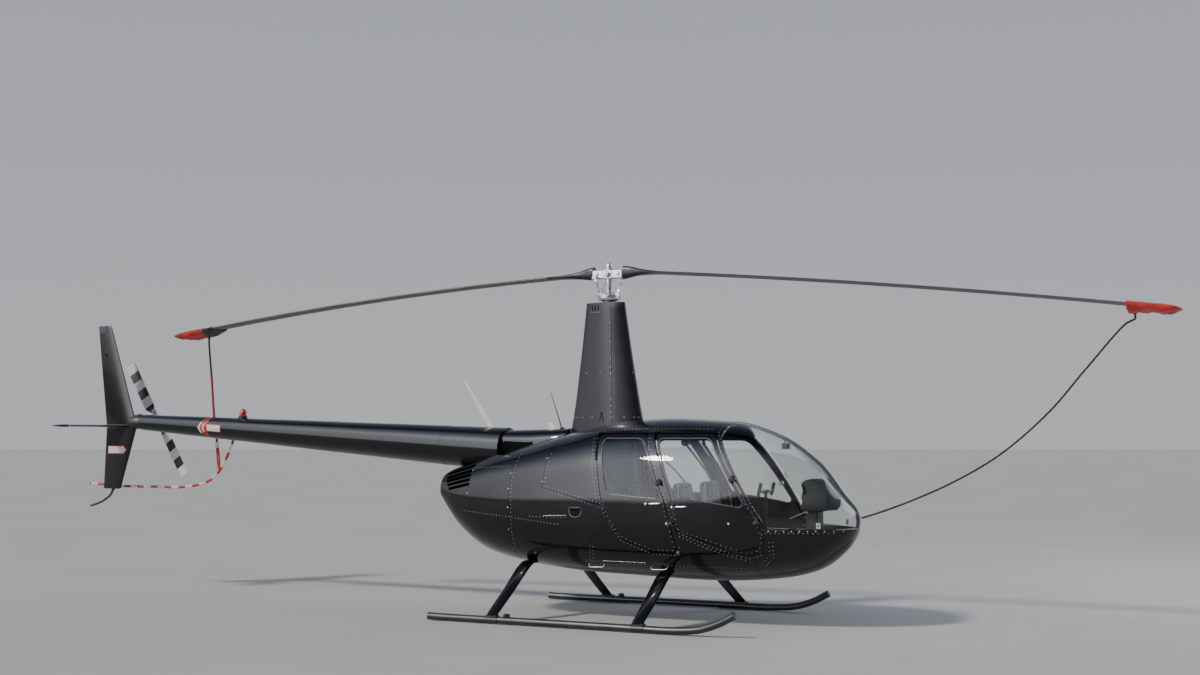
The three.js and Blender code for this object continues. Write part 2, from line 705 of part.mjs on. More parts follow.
function surfacePanel(sections) {
  const count = 12;
  return loft(sections.map(({ lead, trail, thick, place }) => Array.from({ length: count }, (_, i) => {
    const angle = (2 * Math.PI * i) / count;
    const share = (1 + Math.cos(angle)) / 2;
    const x = trail + (lead - trail) * share;
    const fullness = 1.3 * Math.sqrt(1 - share) * share + 0.25 * Math.sqrt(share * (1 - share));
    return place(x, Math.sign(Math.sin(angle)) * fullness * thick);
  })));
}
const upright = (z, rise = 0) => (x, t) => [x, t, z + rise * x];
const gearboxRoom = rod(
  [CONE.back + 40, 0, coneZ(CONE.back)], [CONE.back - 190 - FIT, 0, coneZ(CONE.back) + 4], 76 + 2 * FIT, 16,
);
add("upper_fin", surfacePanel([
  { lead: -5836, trail: -6276, thick: FIN_THICKNESS, place: upright(1778 + FIT) },
  { lead: -6226, trail: -6418, thick: FIN_THICKNESS * 0.6, place: upright(2862) },
]).subtract(gearboxRoom), "gloss_black");
const lowerFin = surfacePanel([
  { lead: -6052, trail: -6302, thick: FIN_THICKNESS * 0.7, place: upright(1080) },
  { lead: -5834, trail: -6274, thick: FIN_THICKNESS, place: upright(1742 - FIT) },
]).subtract(gearboxRoom);
add("lower_fin", lowerFin, "gloss_black");
const STABILIZER_Z = 1760;
add("stabilizer", surfacePanel([
  { lead: -5930, trail: -6235, thick: 30, place: (x, t) => [x, -15 - FIT, STABILIZER_Z + t] },
  { lead: -5940, trail: -6235, thick: 26, place: (x, t) => [x, -860, STABILIZER_Z + t] },
]), "gloss_black");
add("tail_skid", tube(
  [[-6160, 0, 1079.5], [-6200, 0, 1010], [-6290, 0, 950], [-6400, 0, 905], [-6470, 0, 888]], 13, 8, 10,
).subtract(lowerFin.translate([0, 0, -FIT])), "skid_black");
const GUARD_RADIUS = 15;
const guardPath = [
  [-4525, 70, 1655], [-4570, 88, 1560], [-4744, 120, 1305], [-4880, 140, 1195], [-5045, 150, 1135],
  [-5298, 150, 1100], [-5700, 150, 1098], [-6153, 150, 1098], [-6656, 150, 1125],
];
const guard = union(
  tube(guardPath, GUARD_RADIUS, 8, 26).subtract(coneSolid(CONE.front + 60, CONE.back, -FIT)),
  rod([-6180, 140, 1098], [-6180, 5, 1098], 9, 8),
).subtract(lowerFin.translate([0, FIT, 0]));
add("tail_guard", guard, "guard_paint");

// Main rotor

const spin = (solid, degrees) => solid.rotate([0, 0, degrees]);
const mast = union(
  rod([0, 0, 2700 + FIT], [0, 0, HUB_Z - 52 - FIT], 32, 16),
  rod([0, 0, 2925], [0, 0, 2965], 105, 20),
  rod([0, 0, 2900 + 5], [0, 0, 2925], 70, 16, 100),
  rod([88, 0, 2960], [110, 60, 3105], 9, 8),
  rod([-88, 0, 2960], [-110, -60, 3105], 9, 8),
);
add("rotor_mast", spin(mast, ROTOR_AZIMUTH), "bare_alloy");
const hub = union(
  box(-150, 150, -48, 48, HUB_Z - 52, HUB_Z + 28),
  rod([0, 0, HUB_Z + 20], [0, 0, HUB_Z + 95], 38, 16),
  rod([0, -95, HUB_Z - 10], [0, 95, HUB_Z - 10], 30, 16),
);
add("rotor_hub", spin(hub, ROTOR_AZIMUTH), "bare_alloy");

const BLADE_ROOT = 430;
const GRIP_RADIUS = 46;
const heightOf = ({ base, slope, bend }, r) => base + (slope * r) / 1000 + (bend * r * r) / 1e6;

function bladeBody(entry, stations, grow) {
  const count = 12;
  return loft(stations.map((r) => Array.from({ length: count }, (_, i) => {
    const angle = (2 * Math.PI * i) / count;
    const share = (1 + Math.cos(angle)) / 2;
    const chord = (r <= BLADE_ROOT ? BLADE_CHORD * 0.62 : BLADE_CHORD) + 5 * grow;
    const fullness = 1.1 * Math.sqrt(1 - share) * share + 0.2 * Math.sqrt(share * (1 - share));
    const lift = Math.sign(Math.round(1e6 * Math.sin(angle))) * (fullness * BLADE_THICKNESS + grow);
    return [r, chord * (share - 0.72) + grow * 1.1, heightOf(entry, r) + lift];
  })));
}

function blade(entry) {
  const body = bladeBody(entry, [BLADE_ROOT, 700, 1400, 2200, 3000, 3800, entry.cover[0][0], ROTOR_RADIUS], 0);
  const gripEnd = BLADE_ROOT + 90;
  const grip = rod(
    [140, 0, heightOf(entry, 200)], [gripEnd, 0, heightOf(entry, gripEnd)], GRIP_RADIUS, 12, 20,
  );
  return body.add(grip).subtract(box(-200, 150 + FIT, -80, 80, HUB_Z - 200, HUB_Z + 200));
}

// A cloth sock pulled over the blade tip, open at its inner end, with the loop for its strap
function cover(entry) {
  const middle = -BLADE_CHORD * 0.22;
  const rings = [
    ...entry.cover, [ROTOR_RADIUS + 8, 140, 22, 26], [COVER_OUTER, 92, 12, 12],
  ].map(([r, half, over, under]) => [
    [1, 0], [0.7, over], [-0.7, over], [-1, 0], [-0.6, -under], [0.6, -under],
  ].map(([across, up]) => [r, middle + half * across, heightOf(entry, r) + up]));
  const inner = entry.cover[0][0];
  const hollow = bladeBody(entry, [inner - 20, inner, ROTOR_RADIUS + FIT], FIT);
  const tabTop = heightOf(entry, entry.tabRadius) - 12;
  const tab = box(entry.tabRadius - 12, entry.tabRadius + 12, -9, 9, entry.tabZ, tabTop);
  return loft(rings).add(tab).subtract(hollow);
}

for (const entry of BLADES) {
  add(`blade_${entry.name}`, spin(blade(entry), ROTOR_AZIMUTH + entry.turn), "blade_dark");
  add(`cover_${entry.name}`, spin(cover(entry), ROTOR_AZIMUTH + entry.turn), "cover_red");
}

// Tail rotor

const tailBlade = loft([90, 190, TAIL_ROTOR_RADIUS].map((r, k) => {
  const half = k === 0 ? 22 : TAIL_BLADE_CHORD / 2;
  return [
    [-half, 0, r], [-half * 0.2, 7, r], [half * 0.8, 5, r],
    [half, 0, r], [half * 0.8, -5, r], [-half * 0.2, -7, r],
  ];
}));
function placeTail(solid) {
  return solid.rotate([0, -TAIL_BLADE_TILT, 0]).translate([TAIL_HUB.x, TAIL_HUB.y, TAIL_HUB.z]);
}
add("tail_rotor_hub", placeTail(union(
  rod([0, 270 + FIT - TAIL_HUB.y, 0], [0, 45, 0], 40, 16),
  box(-30, 30, -14, 14, -90 + FIT, 90 - FIT),
)), "bare_alloy");
const pitchedBlade = tailBlade.rotate([0, 0, TAIL_BLADE_PITCH]);
add("tail_blade_upper", placeTail(pitchedBlade), "antenna_white");
add("tail_blade_lower", placeTail(pitchedBlade.rotate([0, 180, 0])), "antenna_white");

// Landing gear

const skidCentre = SKID_RADIUS + 5;
for (const [hand, side] of [["left", 1], ["right", -1]]) {
  const run = tube([
    [-1250, 0, skidCentre + 2], [-1100, 0, skidCentre], [-300, 0, skidCentre], [600, 0, skidCentre],
    [1200, 0, skidCentre], [1420, 0, skidCentre + 22], [1600, 0, skidCentre + 82],
    [1720, 0, skidCentre + 145],
  ], SKID_RADIUS, 10, 18);
  const shoes = union(
    box(-800, -380, -26, 26, 0, 30),
    box(620, 1040, -26, 26, 0, 30),
    rod([-440, 0, 30], [-440, 0, 96], 24, 12),
    ...GEAR_BOWS.map((bow) => box(bow.footX - 60, bow.footX + 60, -30, 30, 30, 70)),
  );
  const skid = union(run, shoes).translate([0, side * TRACK_HALF, 0]);
  add(`skid_${hand}`, skid, "skid_black");
}
const gearTrim = box(-2000, 2500, -1400, 1400, 0, 70 + FIT);
for (const bow of GEAR_BOWS) {
  add(bow.name, gearBow(bow, 0).subtract(gearTrim), "gloss_black");
}

// Lamps and antennas

const BEACON_X = -4352;
const beaconZ = coneZ(BEACON_X) + coneRadius(BEACON_X);
add("beacon", union(
  rod([BEACON_X, 0, beaconZ - 8], [BEACON_X, 0, beaconZ + 22], 46, 16),
  rod([BEACON_X, 0, beaconZ + 20], [BEACON_X, 0, beaconZ + 100], 38, 16, 26),
).subtract(coneSolid(CONE.front + 60, CONE.back, -FIT)), "lens_red");
function whip(base, tip, baseHalf, tipHalf, thick) {
  const ring = ([x, z], half) => [
    [x + half, 0, z], [x, thick, z], [x - half, 0, z], [x, -thick, z],
  ];
  return loft([ring(base, baseHalf), ring(tip, tipHalf)]);
}
add("tall_antenna", whip([-1275, 1690], [-1585, 2185], 46, 12, 14)
  .subtract(coneSolid(CONE.front + 60, CONE.back, -FIT)), "antenna_white");
const dorsalTopCut = loft(DORSAL.map(dorsalRing)).translate([0, 0, FIT]);
add("thin_antenna", whip([-500, 1690], [-622, 2060], 10, 5, 5).subtract(dorsalTopCut), "skid_black");
add("fin_antenna", whip([-600, 1690], [-640, 1775], 55, 22, 8).subtract(dorsalTopCut), "antenna_white");
add("landing_lights", union(
  box(LIGHTS.x0, LIGHTS.x1, -LIGHTS.half + FIT, LIGHTS.half - FIT, LIGHTS.z0 + FIT, LIGHTS.z1 - FIT),
), "glass");

// Tie-down straps, each hung from the loop of its cover and cast off before the rotor turns

const azimuth = THREE.MathUtils.degToRad(ROTOR_AZIMUTH);
const below = (radius, z) => [radius * Math.cos(azimuth), radius * Math.sin(azimuth), z - FIT];
add("rear_tie_strap", tube([
  below(-STRAP_RADIUS, STRAP_TOP_Z), below(-STRAP_RADIUS, STRAP_TOP_Z - 40), [-4742, -42, 2230],
  [-4850, 125, 1850], [-4845, 150, 1700], [-4800, 159, 1290],
], 8, 8, 16).subtract(tube(guardPath, GUARD_RADIUS + FIT, 8, 26)), "cover_red");
const CORD_RADIUS = 9;
add("front_tie_cord", tube([
  below(CORD_RADIUS_OUT, CORD_TOP_Z), below(CORD_RADIUS_OUT, CORD_TOP_Z - 30), [4620, 234, 2560],
  [4300, 218, 2200], [4000, 200, 1850], [3600, 170, 1500], [3200, 130, 1260], [2800, 80, 1080],
  [2560, 40, 990], [2437, 8, 950],
], CORD_RADIUS, 8, 32), "cord_black");

export default craft;
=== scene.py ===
"""Looks of a light four-seat helicopter parked on its skids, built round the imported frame.

Metres. +X is the nose, +Y the port side, +Z up. Side-view places are given from the main
rotor's axis, as in the CAD source, and MAST_X moves them to the frame's own origin.
"""

import json
import math

import bpy
import numpy as np
from mathutils import Matrix, Vector
from mathutils.bvhtree import BVHTree
from mathutils.geometry import delaunay_2d_cdt

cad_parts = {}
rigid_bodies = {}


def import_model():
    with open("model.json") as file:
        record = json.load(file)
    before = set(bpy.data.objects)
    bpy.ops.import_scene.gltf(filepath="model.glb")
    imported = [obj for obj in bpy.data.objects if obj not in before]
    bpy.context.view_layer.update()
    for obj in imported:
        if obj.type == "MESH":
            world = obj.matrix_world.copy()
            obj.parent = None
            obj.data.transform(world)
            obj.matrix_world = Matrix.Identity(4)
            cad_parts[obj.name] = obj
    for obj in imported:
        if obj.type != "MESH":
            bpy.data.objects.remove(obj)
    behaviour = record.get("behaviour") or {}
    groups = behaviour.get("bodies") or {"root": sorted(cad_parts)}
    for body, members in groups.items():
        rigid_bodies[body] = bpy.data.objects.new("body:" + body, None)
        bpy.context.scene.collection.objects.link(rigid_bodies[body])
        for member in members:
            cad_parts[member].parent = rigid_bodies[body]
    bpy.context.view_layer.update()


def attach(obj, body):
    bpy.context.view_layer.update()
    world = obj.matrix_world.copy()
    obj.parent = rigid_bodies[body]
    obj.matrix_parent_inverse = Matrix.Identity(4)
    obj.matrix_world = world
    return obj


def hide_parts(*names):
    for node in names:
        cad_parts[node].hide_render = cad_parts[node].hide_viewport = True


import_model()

MAST_X = 0.79
STARBOARD = -1
PORT = 1
BOTH_SIDES = (STARBOARD, PORT)
HANDS = {"right": STARBOARD, "left": PORT}

# Camera, as fitted to the photograph

CAMERA_PLACE = (7.2435 + MAST_X, -13.6943, 1.653)
CAMERA_YAW = -28.19
CAMERA_PITCH = 3.37
CAMERA_LENS = 50.07

# Cabin pod, one row for each section
# Columns: x, top z, bottom z, z of the widest line, half width, upper and lower roundness
POD = (
    (2.425, 0.930, 0.930, 0.930, 0.000, 2.0, 2.0),
    (2.300, 1.140, 0.665, 0.930, 0.270, 2.0, 2.1),
    (2.050, 1.440, 0.490, 0.930, 0.440, 2.1, 2.2),
    (1.700, 1.665, 0.410, 0.940, 0.560, 2.2, 2.4),
    (1.300, 1.780, 0.380, 0.950, 0.625, 2.3, 2.6),
    (0.800, 1.810, 0.380, 0.970, 0.645, 2.4, 2.8),
    (0.200, 1.785, 0.400, 0.990, 0.645, 2.4, 2.9),
    (-0.300, 1.690, 0.425, 1.000, 0.630, 2.4, 2.9),
    (-0.700, 1.595, 0.470, 1.010, 0.600, 2.4, 2.8),
    (-1.100, 1.495, 0.550, 1.040, 0.550, 2.4, 2.6),
    (-1.400, 1.400, 0.720, 1.080, 0.480, 2.4, 2.4),
    (-1.600, 1.340, 0.980, 1.140, 0.400, 2.4, 2.2),
)
POD_AFT = -1.6
POD_TIP = 2.425

# Side-view outlines as (x, z), from the upper aft corner clockwise
FRONT_DOOR = (
    (0.703, 1.670), (1.244, 1.670), (1.710, 0.934), (1.757, 0.764), (1.720, 0.672),
    (1.615, 0.633), (1.294, 0.738), (0.989, 0.837), (0.939, 1.130),
)
REAR_DOOR = (
    (0.132, 1.668), (0.600, 1.670), (0.864, 1.104), (0.948, 0.800), (0.972, 0.672),
    (0.948, 0.648), (0.738, 0.650), (0.448, 0.756), (0.330, 0.905), (0.278, 1.015),
)
FRONT_WINDOW = (
    (0.740, 1.626), (1.220, 1.626), (1.588, 1.076), (1.560, 1.046), (1.209, 1.100), (0.964, 1.130),
)
REAR_WINDOW = (
    (0.184, 1.626), (0.590, 1.626), (0.820, 1.130), (0.790, 1.111), (0.345, 1.142), (0.300, 1.180),
)
WINDSHIELD = (
    (1.330, 2.0), (2.6, 2.0), (2.6, 0.848), (1.790, 0.874), (1.722, 0.968), (1.306, 1.655),
)
NOSE_SEAM_Z = 0.859
NOSE_SEAM_X = 1.650
ROOF_SEAM_Z = 1.673
ZONES = {
    "nose_bowl": ((NOSE_SEAM_X, 0.1), (2.6, 0.1), (2.6, NOSE_SEAM_Z), (NOSE_SEAM_X, NOSE_SEAM_Z)),
    "windshield_frame": (
        (1.5, NOSE_SEAM_Z), (2.6, NOSE_SEAM_Z), (2.6, 2.0), (1.285, 2.0), (1.24, ROOF_SEAM_Z),
    ),
    "cabin_roof": (
        (-0.36, 2.0), (1.285, 2.0), (1.24, ROOF_SEAM_Z), (0.18, ROOF_SEAM_Z), (0.18, 1.64),
        (0.3, 1.03), (-0.36, 1.187),
    ),
    "cabin_tub": (
        (0.345, 0.925), (0.12, 0.7), (0.052, 0.487), (0.03, 0.1), (NOSE_SEAM_X, 0.1),
        (NOSE_SEAM_X, 0.7), (1.3, 0.76), (1.01, 0.85), (0.9, 0.845), (0.6, 0.8),
    ),
    "door_post": (
        (0.9, 0.845), (1.01, 0.85), (1.01, 0.9), (0.8, 1.5), (0.8, ROOF_SEAM_Z),
        (0.56, ROOF_SEAM_Z), (0.56, 1.6), (0.8, 1.1),
    ),
    "middle_fuselage": (
        (-0.73, 2.0), (-0.36, 2.0), (-0.36, 1.187), (0.3, 1.03), (0.345, 0.925), (0.12, 0.7),
        (0.052, 0.487), (0.03, 0.1), (-0.73, 0.1),
    ),
    "aft_cowl": ((-1.7, 0.1), (-0.73, 0.1), (-0.73, 2.0), (-1.7, 2.0)),
}
SEAM = 0.0015
DOOR_GAP = 0.007
CORNER_RELIEF = (
    ((0.674, 1.682), (0.730, 1.682), (0.818, 1.465), (0.772, 1.465)),
    ((0.096, 1.682), (0.150, 1.682), (0.208, 1.430), (0.162, 1.430)),
)
BOW_HALF = 0.024
MIRROR_Y = (1, -1, 1)
TO_ORIGIN = (MAST_X, 0, 0)


def curve_through(xs, ys):
    """A smooth monotone curve through table values."""
    xs, ys = np.array(xs, float), np.array(ys, float)
    gaps = np.diff(xs)
    rises = np.diff(ys) / gaps
    slopes = np.zeros(len(xs))
    slopes[0], slopes[-1] = rises[0], rises[-1]
    for i in range(1, len(xs) - 1):
        if rises[i - 1] * rises[i] > 0:
            w1 = 2 * gaps[i] + gaps[i - 1]
            w2 = gaps[i] + 2 * gaps[i - 1]
            slopes[i] = (w1 + w2) / (w1 / rises[i - 1] + w2 / rises[i])

    def value(x):
        i = np.clip(np.searchsorted(xs, x) - 1, 0, len(xs) - 2)
        t = (x - xs[i]) / gaps[i]
        rise = ys[i + 1] - ys[i]
        bend0 = slopes[i] * gaps[i] - rise
        bend1 = rise - slopes[i + 1] * gaps[i]
        return ys[i] + t * rise + t * (1 - t) * (bend0 * (1 - t) + bend1 * t)

    return value


rows = np.array(POD[::-1])
X_COLUMN = rows[:, 0]
rise_squared = curve_through(X_COLUMN, (rows[:, 1] - rows[:, 3]) ** 2)
drop_squared = curve_through(X_COLUMN, (rows[:, 3] - rows[:, 2]) ** 2)
half_squared = curve_through(X_COLUMN, rows[:, 4] ** 2)
waist_at = curve_through(X_COLUMN, rows[:, 3])
upper_power = curve_through(X_COLUMN, rows[:, 5])
lower_power = curve_through(X_COLUMN, rows[:, 6])


def pod_size(x, above):
    """Half width, height from the widest line and roundness at x, above or below that line."""
    half = np.sqrt(np.maximum(half_squared(x), 1e-12))
    height = np.sqrt(np.maximum(np.where(above, rise_squared(x), drop_squared(x)), 1e-12))
    return half, height, np.where(above, upper_power(x), lower_power(x))


def pod_point(x, angle):
    """Starboard surface points at x and the section angle, from -90 at the keel to 90 at the top."""
    half, height, power = pod_size(x, angle >= 0)
    y = -half * np.abs(np.cos(angle)) ** (2 / power)
    z = waist_at(x) + height * np.sign(angle) * np.abs(np.sin(angle)) ** (2 / power)
    return np.stack([x, np.where(np.abs(angle) > math.pi / 2 - 1e-4, 0, y), z], -1)


def pod_top(x):
    """Height of the pod's top line at x."""
    return float(waist_at(x) + math.sqrt(max(float(rise_squared(x)), 0)))


def pod_keel(x):
    """Height of the pod's keel line at x."""
    return float(waist_at(x) - math.sqrt(max(float(drop_squared(x)), 0)))


def pod_angle(x, z):
    """The section angle of the surface point at x and z, held at the top and keel lines."""
    above = z >= waist_at(x)
    _, height, power = pod_size(x, above)
    share = np.minimum(np.abs(z - waist_at(x)) / height, 1)
    return np.where(above, 1, -1) * np.arcsin(np.minimum(share ** (power / 2), 1))


def pod_normal(points):
    """Unit normals at starboard or port surface points."""
    x, y, z = points.T

    def level(x_at):
        half, height, power = pod_size(x_at, z >= waist_at(x))
        return (np.abs(y) / half) ** power + (np.abs(z - waist_at(x_at)) / height) ** power

    half, height, power = pod_size(x, z >= waist_at(x))
    step = np.minimum(2e-4, np.maximum(POD_TIP - x, 2e-6) / 2)
    across = power * (np.abs(y) / half) ** (power - 1) * np.sign(y) / half
    up = power * (np.abs(z - waist_at(x)) / height) ** (power - 1) * np.sign(z - waist_at(x)) / height
    ahead = (level(x + step) - level(x - step)) / (2 * step)
    normal = np.stack([ahead, across, up], -1)
    return normal / np.linalg.norm(normal, axis=1)[:, None]


# Distance along the skin from the tail end, which spreads the points evenly round the nose
run_x = POD_TIP - (POD_TIP - POD_AFT) * np.linspace(1, 0, 4000) ** 2
run_half = np.sqrt(np.maximum(half_squared(run_x), 0))
run_length = np.concatenate([[0], np.cumsum(np.hypot(np.diff(run_x), np.diff(run_half)))])
AROUND = 0.56


def to_flat(x, angle):
    """Places on the unrolled skin, in metres, from x and the section angle."""
    return np.stack([np.interp(x, run_x, run_length), angle * AROUND], -1)


def from_flat(flat):
    """x and the section angle of places on the unrolled skin."""
    return np.interp(flat[:, 0], run_length, run_x), flat[:, 1] / AROUND


# Lines and tables


def read_table(table, at, columns):
    """Columns of a table by straight lines between its rows, looked up by the first column."""
    table = np.array(table)
    return [float(np.interp(at, table[:, 0], table[:, i])) for i in columns]


def mix(first, last, t):
    """A row between two rows."""
    return np.array(first) * (1 - t) + np.array(last) * t


def run_along(points):
    """Distance from the first point to each point of a line."""
    return np.concatenate([[0], np.cumsum(np.linalg.norm(np.diff(points, axis=0), axis=1))])


def offset(outline, distance):
    """Moves each edge of an outline outwards by the distance, or inwards where it is negative."""
    points = np.array(outline, float)
    before = points - np.roll(points, 1, 0)
    after = np.roll(points, -1, 0) - points
    area = np.sum(points[:, 0] * np.roll(points[:, 1], -1) - points[:, 1] * np.roll(points[:, 0], -1))
    turn = 1 if area > 0 else -1
    n1, n2 = (
        np.stack([edge[:, 1], -edge[:, 0]], -1) / np.linalg.norm(edge, axis=1)[:, None] * turn
        for edge in (before, after)
    )
    return points + (n1 + n2) * (distance / (1 + np.sum(n1 * n2, 1)))[:, None]


def rounded(outline, radius, steps=5):
    """The outline with each corner rounded, less where its edges are short."""
    points = np.array(outline, float)
    result = []
    for i, corner in enumerate(points):
        before = points[i - 1] - corner
        after = points[(i + 1) % len(points)] - corner
        reach = min(radius, 0.45 * np.linalg.norm(before), 0.45 * np.linalg.norm(after))
        start = corner + before / np.linalg.norm(before) * reach
        end = corner + after / np.linalg.norm(after) * reach
        for k in range(steps + 1):
            t = k / steps
            result.append((1 - t) ** 2 * start + 2 * t * (1 - t) * corner + t * t * end)
    return np.array(result)


def dense(points, step, closed=True):
    """The same line with points no further apart than the step."""
    points = np.array(points, float)
    ends = np.roll(points, -1, 0) if closed else points[1:]
    result = []
    for a, b in zip(points, ends):
        count = max(1, math.ceil(np.linalg.norm(b - a) / step))
        result += [a + (b - a) * k / count for k in range(count)]
    if not closed:
        result.append(points[-1])
    return np.array(result)


def inside(outline, points):
    """Which points lie in the outline."""
    outline = np.array(outline, float)
    x, y = points.T
    result = np.zeros(len(points), bool)
    for (x0, y0), (x1, y1) in zip(outline, np.roll(outline, -1, 0)):
        if y0 == y1:
            continue
        crosses = (y0 > y) != (y1 > y)
        result ^= crosses & (x < (x1 - x0) * (y - y0) / (y1 - y0) + x0)
    return result


# Pieces


def piece(name, verts, faces, materials, body="root", slot=None, replaces=(), sharp=35,
          indices=None, normals=None):
    """One named mesh that rides on a body. Indices pick each face's material."""
    mesh = bpy.data.meshes.new(name)
    mesh.from_pydata([tuple(v) for v in verts], [], [tuple(f) for f in faces])
    obj = bpy.data.objects.new(name, mesh)
    bpy.context.scene.collection.objects.link(obj)
    for material in materials if isinstance(materials, (list, tuple)) else [materials]:
        mesh.materials.append(material)
    if indices is not None:
        mesh.polygons.foreach_set("material_index", np.array(indices, np.int32))
    mesh.shade_smooth()
    mesh.set_sharp_from_angle(angle=math.radians(sharp))
    if normals is not None:
        mesh.normals_split_custom_set([tuple(n) for n in normals])
    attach(obj, body)
    if replaces:
        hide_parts(*replaces)
    return obj


def joined(*parts):
    """Several (verts, faces) as one."""
    verts, faces = [], []
    for part_verts, part_faces in parts:
        start = len(verts)
        verts += [tuple(v) for v in part_verts]
        faces += [tuple(start + i for i in face) for face in part_faces]
    return verts, faces


def moved(part, by):
    """A part, its verts and faces, shifted by the vector."""
    verts, faces = part
    return [tuple(np.add(v, by)) for v in verts], faces


def turned(part, degrees, axis="Z"):
    """A part turned about an axis through the origin."""
    verts, faces = part
    matrix = Matrix.Rotation(math.radians(degrees), 3, axis)
    return [tuple(matrix @ Vector(v)) for v in verts], faces


def mirrored(part):
    """A part reflected to the other side of the aircraft."""
    verts, faces = part
    return [(x, -y, z) for x, y, z in verts], [tuple(reversed(face)) for face in faces]


def loft(rings, closed_along=False):
    """A closed solid through rings with the same number of points."""
    count = len(rings[0])
    verts = [tuple(p) for ring in rings for p in ring]
    faces = []
    last = len(rings) if closed_along else len(rings) - 1
    for k in range(last):
        a, b = k * count, ((k + 1) % len(rings)) * count
        for i in range(count):
            j = (i + 1) % count
            faces.append((a + i, a + j, b + j, b + i))
    if not closed_along:
        faces.append(tuple(reversed(range(count))))
        faces.append(tuple(range(last * count, (last + 1) * count)))
    return outward(verts, faces)


def outward(verts, faces):
    """The same closed solid with its faces pointing out."""
    points = np.array(verts, float)
    points = points - points.mean(0)
    volume = 0.0
    for face in faces:
        for i in range(1, len(face) - 1):
            a, b, c = points[face[0]], points[face[i]], points[face[i + 1]]
            volume += a @ np.cross(b, c)
    if volume < 0:
        faces = [tuple(reversed(face)) for face in faces]
    return verts, faces


def frames_along(points):
    """The points of a line and two normals at each, with little twist."""
    points = np.array(points, float)
    tangents = np.gradient(points, axis=0)
    tangents /= np.linalg.norm(tangents, axis=1)[:, None]
    side = np.cross(tangents[0], (0, 0, 1))
    if np.linalg.norm(side) < 1e-3:
        side = np.cross(tangents[0], (1, 0, 0))
    sides = []
    for tangent in tangents:
        side = side - tangent * (side @ tangent)
        side = side / np.linalg.norm(side)
        sides.append(side)
    sides = np.array(sides)
    return points, sides, np.cross(sides, tangents)


def turn_angles(count):
    """Angles of evenly spaced points round a full turn."""
    return [2 * math.pi * i / count for i in range(count)]


def tube(points, radius, sides=12, closed=False):
    """A tube along the points. Radius: one number, one for each point, or a function of angle and index."""
    points, across, over = frames_along(points)
    rings = []
    for k, point in enumerate(points):
        ring = []
        for angle in turn_angles(sides):
            r = radius(angle, k) if callable(radius) else radius if np.isscalar(radius) else radius[k]
            ring.append(point + across[k] * r * math.cos(angle) + over[k] * r * math.sin(angle))
        rings.append(ring)
    return loft(rings, closed)


def catmull(points, per_span=8):
    """A smooth line through the points, spaced by the square root of their distance."""
    points = [np.array(p, float) for p in points]
    points = [2 * points[0] - points[1], *points, 2 * points[-1] - points[-2]]
    result = []
    for p0, p1, p2, p3 in zip(points, points[1:], points[2:], points[3:]):
        t1 = np.linalg.norm(p1 - p0) ** 0.5
        t2 = t1 + np.linalg.norm(p2 - p1) ** 0.5
        t3 = t2 + np.linalg.norm(p3 - p2) ** 0.5
        for k in range(per_span):
            t = t1 + (t2 - t1) * k / per_span
            a1 = (t1 - t) / t1 * p0 + t / t1 * p1
            a2 = (t2 - t) / (t2 - t1) * p1 + (t - t1) / (t2 - t1) * p2
            a3 = (t3 - t) / (t3 - t2) * p2 + (t - t2) / (t3 - t2) * p3
            b1 = (t2 - t) / t2 * a1 + t / t2 * a2
            b2 = (t3 - t) / (t3 - t1) * a2 + (t - t1) / (t3 - t1) * a3
            result.append((t2 - t) / (t2 - t1) * b1 + (t - t1) / (t2 - t1) * b2)
    result.append(points[-2])
    return np.array(result)


def even(points, step):
    """The same line resampled at even distances."""
    points = np.array(points, float)
    run = run_along(points)
    count = max(2, round(run[-1] / step) + 1)
    at = np.linspace(0, run[-1], count)
    return np.stack([np.interp(at, run, points[:, i]) for i in range(3)], -1)


def lathe(profile, place=(0, 0, 0), axis=(0, 0, 1), sides=32):
    """A turned solid. The profile lists (distance along the axis, radius)."""
    turn = Vector((0, 0, 1)).rotation_difference(Vector(axis)).to_matrix()
    rings = []
    for reach, radius in profile:
        ring = [Vector((radius * math.cos(a), radius * math.sin(a), reach)) for a in turn_angles(sides)]
        rings.append([tuple(turn @ point + Vector(place)) for point in ring])
    return loft(rings)


def slab(outline, y0, y1, edge=0.0):
    """A side-view outline between two depths, its rims eased by the edge."""
    outline = np.array(outline, float)
    inner = offset(outline, -edge) if edge else outline
    shift = math.copysign(edge, y1 - y0)
    levels = [(inner, y0), (outline, y0 + shift), (outline, y1 - shift), (inner, y1)]
    if not edge:
        levels = [levels[1], levels[2]]
    return loft([[(x, y, z) for x, z in ring] for ring, y in levels])


def block(x0, x1, y0, y1, z0, z1, edge=0.003):
    """A box with eased rims."""
    return slab(((x0, z0), (x1, z0), (x1, z1), (x0, z1)), y0, y1, edge)


def placed(part, place, axis_x, axis_z):
    """A part made at the origin, moved so that its X and Z run along the given ways."""
    x = Vector(axis_x).normalized()
    z = (Vector(axis_z) - x * Vector(axis_z).dot(x)).normalized()
    y = z.cross(x)
    matrix = Matrix((x, y, z)).transposed()
    verts, faces = part
    return [tuple(matrix @ Vector(v) + Vector(place)) for v in verts], faces


def to_frame(part):
    """Moves a part from the rotor axis's place to the frame's origin."""
    return moved(part, TO_ORIGIN)


# Skin panels

GRID = 0.024


